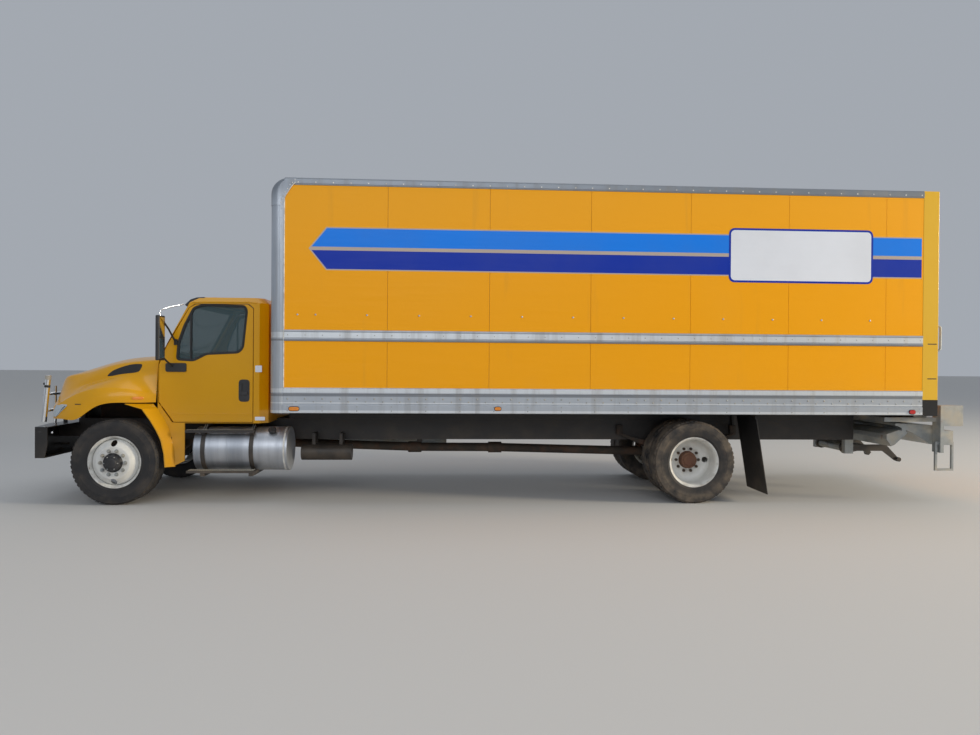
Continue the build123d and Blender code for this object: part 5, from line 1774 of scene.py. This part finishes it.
# %% Fuel tank and steps
tank_low, tank_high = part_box("fuel_tank")
tank_y, tank_z = (tank_low.y + tank_high.y) / 2, (tank_low.z + tank_high.z) / 2
tank_radius = (tank_high.z - tank_low.z) / 2
band_station = 1.27
neck_station = 1.79
neck_lean = radians(38)
grip_size = (0.012, 0.004, 0.004)
neck_profile = [(0.036, -0.02), (0.036, 0.030), (0.046, 0.032), (0.048, 0.036), (0.048, 0.056),
                (0.043, 0.061), (0.016, 0.061), (0.012, 0.070), (0.0, 0.070)]


def along_tank(name, profile, finish):
    """A piece turned about the tank's axis from (radius, X) points."""
    turned = Draft().lathe(profile)
    return Draft().add_moved(turned, lambda y, x, z: (x, tank_y + y, tank_z + z)).piece(name, finish)


def tank_body():
    front, rear, r = tank_low.x, tank_high.x, tank_radius
    end = [(0.0, 0.030), (r * 0.45, 0.026), (r * 0.75, 0.016), (r * 0.86, 0.006), (r * 0.93, 0.0),
           (r * 0.985, 0.003), (r - 0.001, 0.010), (r - 0.001, 0.024), (r - 0.0045, 0.029)]
    band = [(r - sunk, at(band_station) + x) for sunk, x in (
        (0.0045, -0.012), (0.0012, -0.008), (0.0012, 0.008), (0.0045, 0.012))]
    profile = [(radius, front + x) for radius, x in end] + band
    profile += [(radius, rear - x) for radius, x in reversed(end)]
    piece = along_tank("fuel_tank_shell", profile, tank_aluminium)
    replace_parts(piece, "fuel_tank")
    # Painted highlight: a white ring on the rear end, for its lit edge.
    along_tank("fuel_tank_highlight_rim", [(r - sunk, rear - x) for sunk, x in (
        (0.014, 0.052), (0.0015, 0.050), (0.0005, 0.040), (0.0015, 0.030), (0.014, 0.028))], wheel_white)


def neck_point(x, depth, z):
    """Turns the filler neck to the tank's upper outer side."""
    out, up = -sin(neck_lean), cos(neck_lean)
    away = tank_radius - 0.012 + depth
    return at(neck_station) + x, tank_y + out * away + up * z, tank_z + up * away - out * z


tank_body()
neck = Draft().add_moved(Draft().lathe(neck_profile, sides=28), neck_point)
neck.piece("tank_filler_cap", plastic, 0.001)
strap_bolts = Draft()
for x in (at(0.985) - 0.012, at(0.985) + 0.012, at(1.555) - 0.012, at(1.555) + 0.012):
    strap_bolts.tube([(x, tank_y - 0.24, tank_z + 0.205), (x, tank_y - 0.10, tank_z + 0.298)], 0.005, 8)
strap_bolts.piece("tank_strap_bolts", gate_steel, 0.0005)
slat_row.grow("step_grip", gate_steel, [
    slats((at(x), y + row * 0.017, z), (0.026, 0, 0), 30, grip_size, (0, 0, radians(45 if row % 2 else -45)))
    for x, y, z, rows in ((0.80, -1.076, 0.8805, 4), (0.82, -1.088, 0.394, 8)) for row in range(rows)])

# %% [markdown]
# The bumper is a black channel with a bolt at each side and two tow hooks below. The chrome guard
# stands on it; rubber and steel fittings on its outer tubes are small turned pieces.

# %% Bumper bolts, tow hooks and guard fittings
bumper_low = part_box("front_bumper")[0]
hook_x = bumper_low.x + 0.070
bolt_head = [(0.0, 0.007), (0.008, 0.006), (0.012, 0.002), (0.013, -0.002)]
Draft().lathe(bolt_head, (at(-0.705), 1.1795, 0.855), 16).pair("bumper_bolts", guard_chrome)
hook = [(hook_x + x, 0.36, z) for x, z in ((0.08, 0.64), (-0.01, 0.64), (-0.035, 0.62), (-0.040, 0.595),
                                           (-0.025, 0.575), (0.01, 0.570))]
Draft().tube(hook, 0.014, 12).pair("tow_hooks", iron)


def guard_fittings():
    """A dark band, a knob and a grey cap block on each outer upright."""
    low, high = Vector((at(-0.944), 0.900, 0.960)), Vector((at(-0.895), 0.900, 1.520))
    along = (high - low).normalized()
    start, knob, top = (low + (high - low) * share for share in (0.735, 0.815, 0.905))
    bands = Draft().tube([start, start + along * 0.030], 0.0325, 20)
    bands.tube([knob + Vector((-0.030, 0, 0)), knob + Vector((-0.046, 0, 0))], 0.014, 14)
    bands.pair("guard_bands", rubber_seal, 0.002, body="guard")
    caps = Draft().tube([top, top + along * 0.050], 0.0335, 20)
    caps.pair("guard_caps", gate_steel, 0.003, body="guard")


guard_fittings()

# %% [markdown]
# Small pieces give a cab its age and make: a cowl under the windshield, drip rails, marker lamps on
# the roof, wipers, and the bright blank plates where lettering would be.

# %% Cab details
glass_low, glass_high = 1.790, 2.410
glass_foot, glass_head, glass_bow = 0.470, 0.800, 0.085
seal_low, seal_rise, seal_half = 1.805, 0.595, 0.865
seal_steps_across, seal_steps_up = 24, 12
cowl_half = 0.86
cowl_slats = 24


def windshield_point(height, y, proud):
    """A point on the bowed windshield's outside."""
    share = (height - glass_low) / (glass_high - glass_low)
    bow = glass_bow * (1 - y ** 2)
    return Vector((at(glass_foot + (glass_head - glass_foot) * share - bow) - proud, y, height))


def cowl():
    """The dark grille strip under the windshield."""
    draft = Draft()
    for y in [-cowl_half + 2 * cowl_half * step / (cowl_slats - 1) for step in range(cowl_slats)]:
        x = windshield_point(1.793, y, 0.0).x
        draft.box((x - 0.006, y - 0.012, 1.774), (x + 0.020, y + 0.012, 1.797))
    draft.piece("cowl_slats", plastic, 0.002)


def roof_markers():
    amber, base = Draft(), Draft()
    x, z = at(0.985), cab_high.z - 0.004
    for y in (-0.62, -0.17, 0.0, 0.17, 0.62):
        base.box((x - 0.05, y - 0.035, z - 0.01), (x + 0.05, y + 0.035, z + 0.006))
        amber.box((x - 0.044, y - 0.028, z + 0.002), (x + 0.030, y + 0.028, z + 0.030))
    base.piece("roof_marker_bases", rubber_seal, 0.003)
    amber.piece("roof_markers", lens_amber, 0.011, 3)


def wipers():
    draft = Draft()
    for base in (-0.72, 0.02):
        pivot = windshield_point(1.775, base, 0.020)
        tip = windshield_point(1.90, base + 0.62, 0.030)
        draft.tube([pivot, pivot.lerp(tip, 0.1) + Vector((-0.012, 0, 0)), tip], 0.006, 8)
        draft.tube([windshield_point(1.832 + 0.085 * share, base + 0.14 + 0.58 * share, 0.010)
                    for share in [step / 8 for step in range(9)]], 0.007, 8)
    draft.piece("wipers", rubber_seal)


def windshield_seal():
    """Along the bottom, up the right side, back along the top and down the left side."""
    line = []
    for side in (1, -1):
        foot = seal_low if side > 0 else seal_low + seal_rise
        line += [(foot, side * (-seal_half + 2 * seal_half * step / seal_steps_across))
                 for step in range(seal_steps_across + 1)]
        line += [(foot + side * seal_rise * step / seal_steps_up, side * seal_half)
                 for step in range(1, seal_steps_up)]
    path = [windshield_point(height, y, 0.004) for height, y in line]
    Draft().tube(path, 0.015, 10, closed=True).piece("windshield_seal", rubber_seal)


cowl()
drip_rail = placed([(0.83, 1.002, 2.412), (1.0, 1.001, 2.418), (1.50, 1.001, 2.420), (1.60, 1.001, 2.412)])
Draft().tube(drip_rail, 0.008, 10).pair("cab_drip_rails", cab_yellow)
roof_markers()
labels = Draft()
for corners in ((1.58, 1.66, 1.575, 1.655), (1.58, 1.70, 0.990, 1.034)):
    labels.side_plate(rounded(*corners, 0.006, 2), 0.999, 1.0008)
labels.pair("blank_labels", film_white)
wipers()
windshield_seal()
ribs = Draft()
for z in (1.10, 1.25, 1.40, 1.55, 1.70):
    ribs.box((cab_high.x - 0.002, -0.72, z - 0.012), (cab_high.x + 0.003, 0.72, z + 0.012))
ribs.piece("cab_rear_ribs", cab_yellow, 0.003)

# %% [markdown]
# Inside, belt guides hang beside the seats, and the dashboard gets its dials and vents, because the
# cab is open to view through its glass.

# %% Cab interior
belts = Draft().tube(placed([(1.62, 0.905, 2.05), (1.55, 0.80, 1.92), (1.535, 0.74, 1.86)]), 0.009, 8)
belts.pair("belt_guides", plastic)
dials, vents = Draft(), Draft()
for y, radius in ((-0.66, 0.028), (-0.60, 0.055), (-0.50, 0.055), (-0.40, 0.055), (-0.34, 0.028)):
    dial = Draft().lathe([(0.0, 0.0), (radius * 0.92, 0.0), (radius, 0.006), (radius, 0.012)], sides=24)
    dials.add_moved(dial, lambda aside, out, up: (at(0.665) + out * 0.9, y + aside, 1.630 + up))
dials.piece("dash_dials", gate_steel)
for y in (-0.85, -0.12, 0.12, 0.85):
    for z in [1.60 + step * 0.013 for step in range(5)]:
        vents.box((at(0.640), y - 0.05, z), (at(0.690), y + 0.05, z + 0.005))
vents.piece("dash_vents", rubber_seal, 0.001)

# %% [markdown]
# A truck seat is foam under woven cloth. It could be a rounded block, but a block looks hard. Each
# cushion here starts a little small, is remeshed evenly, and is then blown up by a cloth simulation
# with pressure inside, which crowns its faces and pulls its sides in between the corners. The sewn
# channels are pressed in afterwards, because the remesh would wipe them out.

# %% Seats
cushion_voxel = 0.010
foam_pressure = 4.0
foam_moments = 20
foam_reach = 0.014
channel_depth = 0.007
channel_width = 0.009
ahead, upwards = (-1, 0, 0), (0, 0, 1)
base_side = [(1.105, 1.170), (1.535, 1.170), (1.535, 1.290), (1.110, 1.305)]
back_side = [(1.472, 1.362), (1.546, 1.362), (1.592, 1.700), (1.538, 1.700)]
head_side = [(1.547, 1.755), (1.601, 1.755), (1.620, 1.880), (1.572, 1.880)]
hinge_plate = [(1.45, 1.10), (1.545, 1.10), (1.563, 1.38), (1.545, 1.41), (1.505, 1.40)]


def blown_up(carrier):
    """Where the cloth's points stand once the filling has pushed them out."""
    cloth = carrier.modifiers.new("filling", "CLOTH")
    cloth.settings.use_pressure = True
    cloth.settings.uniform_pressure_force = foam_pressure
    cloth.settings.effector_weights.gravity = 0
    cloth.point_cache.frame_end = foam_moments
    for moment in range(foam_moments):
        bpy.context.scene.frame_set(moment + 1)
    places = [vertex.co.copy() for vertex in evaluated_mesh(carrier).vertices]
    carrier.modifiers.remove(cloth)
    bpy.context.scene.frame_set(1)
    return places


def stuffed(name, draft, corner):
    """A closed form, remeshed evenly and swollen by no more than the foam's reach."""
    carrier = linked(name, closed_mesh(draft, name, corner))
    remesh = carrier.modifiers.new("even_faces", "REMESH")
    remesh.mode = "VOXEL"
    remesh.voxel_size = cushion_voxel
    even = evaluated_mesh(carrier)
    carrier.modifiers.remove(remesh)
    carrier.data = even
    for vertex, place in zip(even.vertices, blown_up(carrier)):
        move = place - vertex.co
        vertex.co += move * min(1.0, foam_reach / max(move.length, 0.000001))
    smooth = carrier.modifiers.new("rounding", "SUBSURF")
    smooth.levels = smooth.render_levels = 1
    made = evaluated_mesh(carrier)
    bpy.data.objects.remove(carrier)
    return made


def press_channels(mesh, towards, axis, places):
    """Presses sewn channels into the faces that look the given way."""
    normals = [vertex.normal.copy() for vertex in mesh.vertices]
    for vertex, normal in zip(mesh.vertices, normals):
        facing = max(0.0, normal.dot(Vector(towards)))
        for place in places:
            away = (vertex.co[axis] - place) / channel_width
            vertex.co -= normal * channel_depth * facing * 2.718 ** (-away * away)


def cushion_pair(name, outline, low, high, corner, towards, axis, places):
    """The same padded piece for the driver and the passenger."""
    mesh = stuffed(name, Draft().side_plate(outline, low, high), corner)
    press_channels(mesh, towards, axis, places)
    pair = []
    for side, label in ((1, "right_"), (-1, "left_")):
        own = mesh.copy()
        if side < 0:
            for vertex in own.vertices:
                vertex.co.y = -vertex.co.y
            own.flip_normals()
        piece = finish_piece(own, label + name, seat_cloth, recalculate=False)
        pair.append(piece)
    print(name, len(mesh.polygons), "faces each")
    return pair


def seat_frames():
    """Bases, hinge plates and head rest rods: the hard parts between the cushions."""
    draft = Draft().box((at(1.13), 0.31, 1.001), (at(1.53), 0.72, 1.150))
    for low, high in ((0.256, 0.268), (0.762, 0.774)):
        draft.side_plate(hinge_plate, low, high)
    for y in (0.47, 0.56):
        draft.tube(placed([(1.566, y, 1.66), (1.585, y, 1.78)]), 0.006, 10)
    draft.pair("seat_frames", plastic, 0.004)


base_channels = [at(1.19), at(1.31), at(1.43)]
base_cushions = cushion_pair("seat_cushion", base_side, 0.292, 0.738, 0.030, upwards, 0, base_channels)
cushion_pair("seat_back", back_side, 0.302, 0.728, 0.024, ahead, 2, (1.44, 1.53, 1.62))
cushion_pair("head_rest", head_side, 0.405, 0.625, 0.022, ahead, 2, ())
seat_frames()
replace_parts(base_cushions[0], "seats")

# %% [markdown]
# A smoked visor hangs over the windshield, and a narrow web closes the joint between the flare behind
# the front wheel and the panel next to it.

# %% Visor and fender webs
visor_side = [(0.738, 2.366), (0.722, 2.388), (0.79, 2.452), (0.86, 2.476), (0.955, 2.482), (0.962, 2.452),
              (0.955, 2.428), (0.87, 2.424), (0.80, 2.398)]
visor = Draft().side_plate(visor_side, -0.94, 0.94).piece("visor_moulding", plastic, 0.006, 3)
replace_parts(visor, "sun_visor")
web_side = [(0.500, 1.008), (0.575, 1.000), (0.612, 0.790), (0.585, 0.785), (0.552, 0.908)]
Draft().side_plate(web_side, 0.986, 1.0005).pair("quarter_fender_webs", cab_yellow, 0.001)
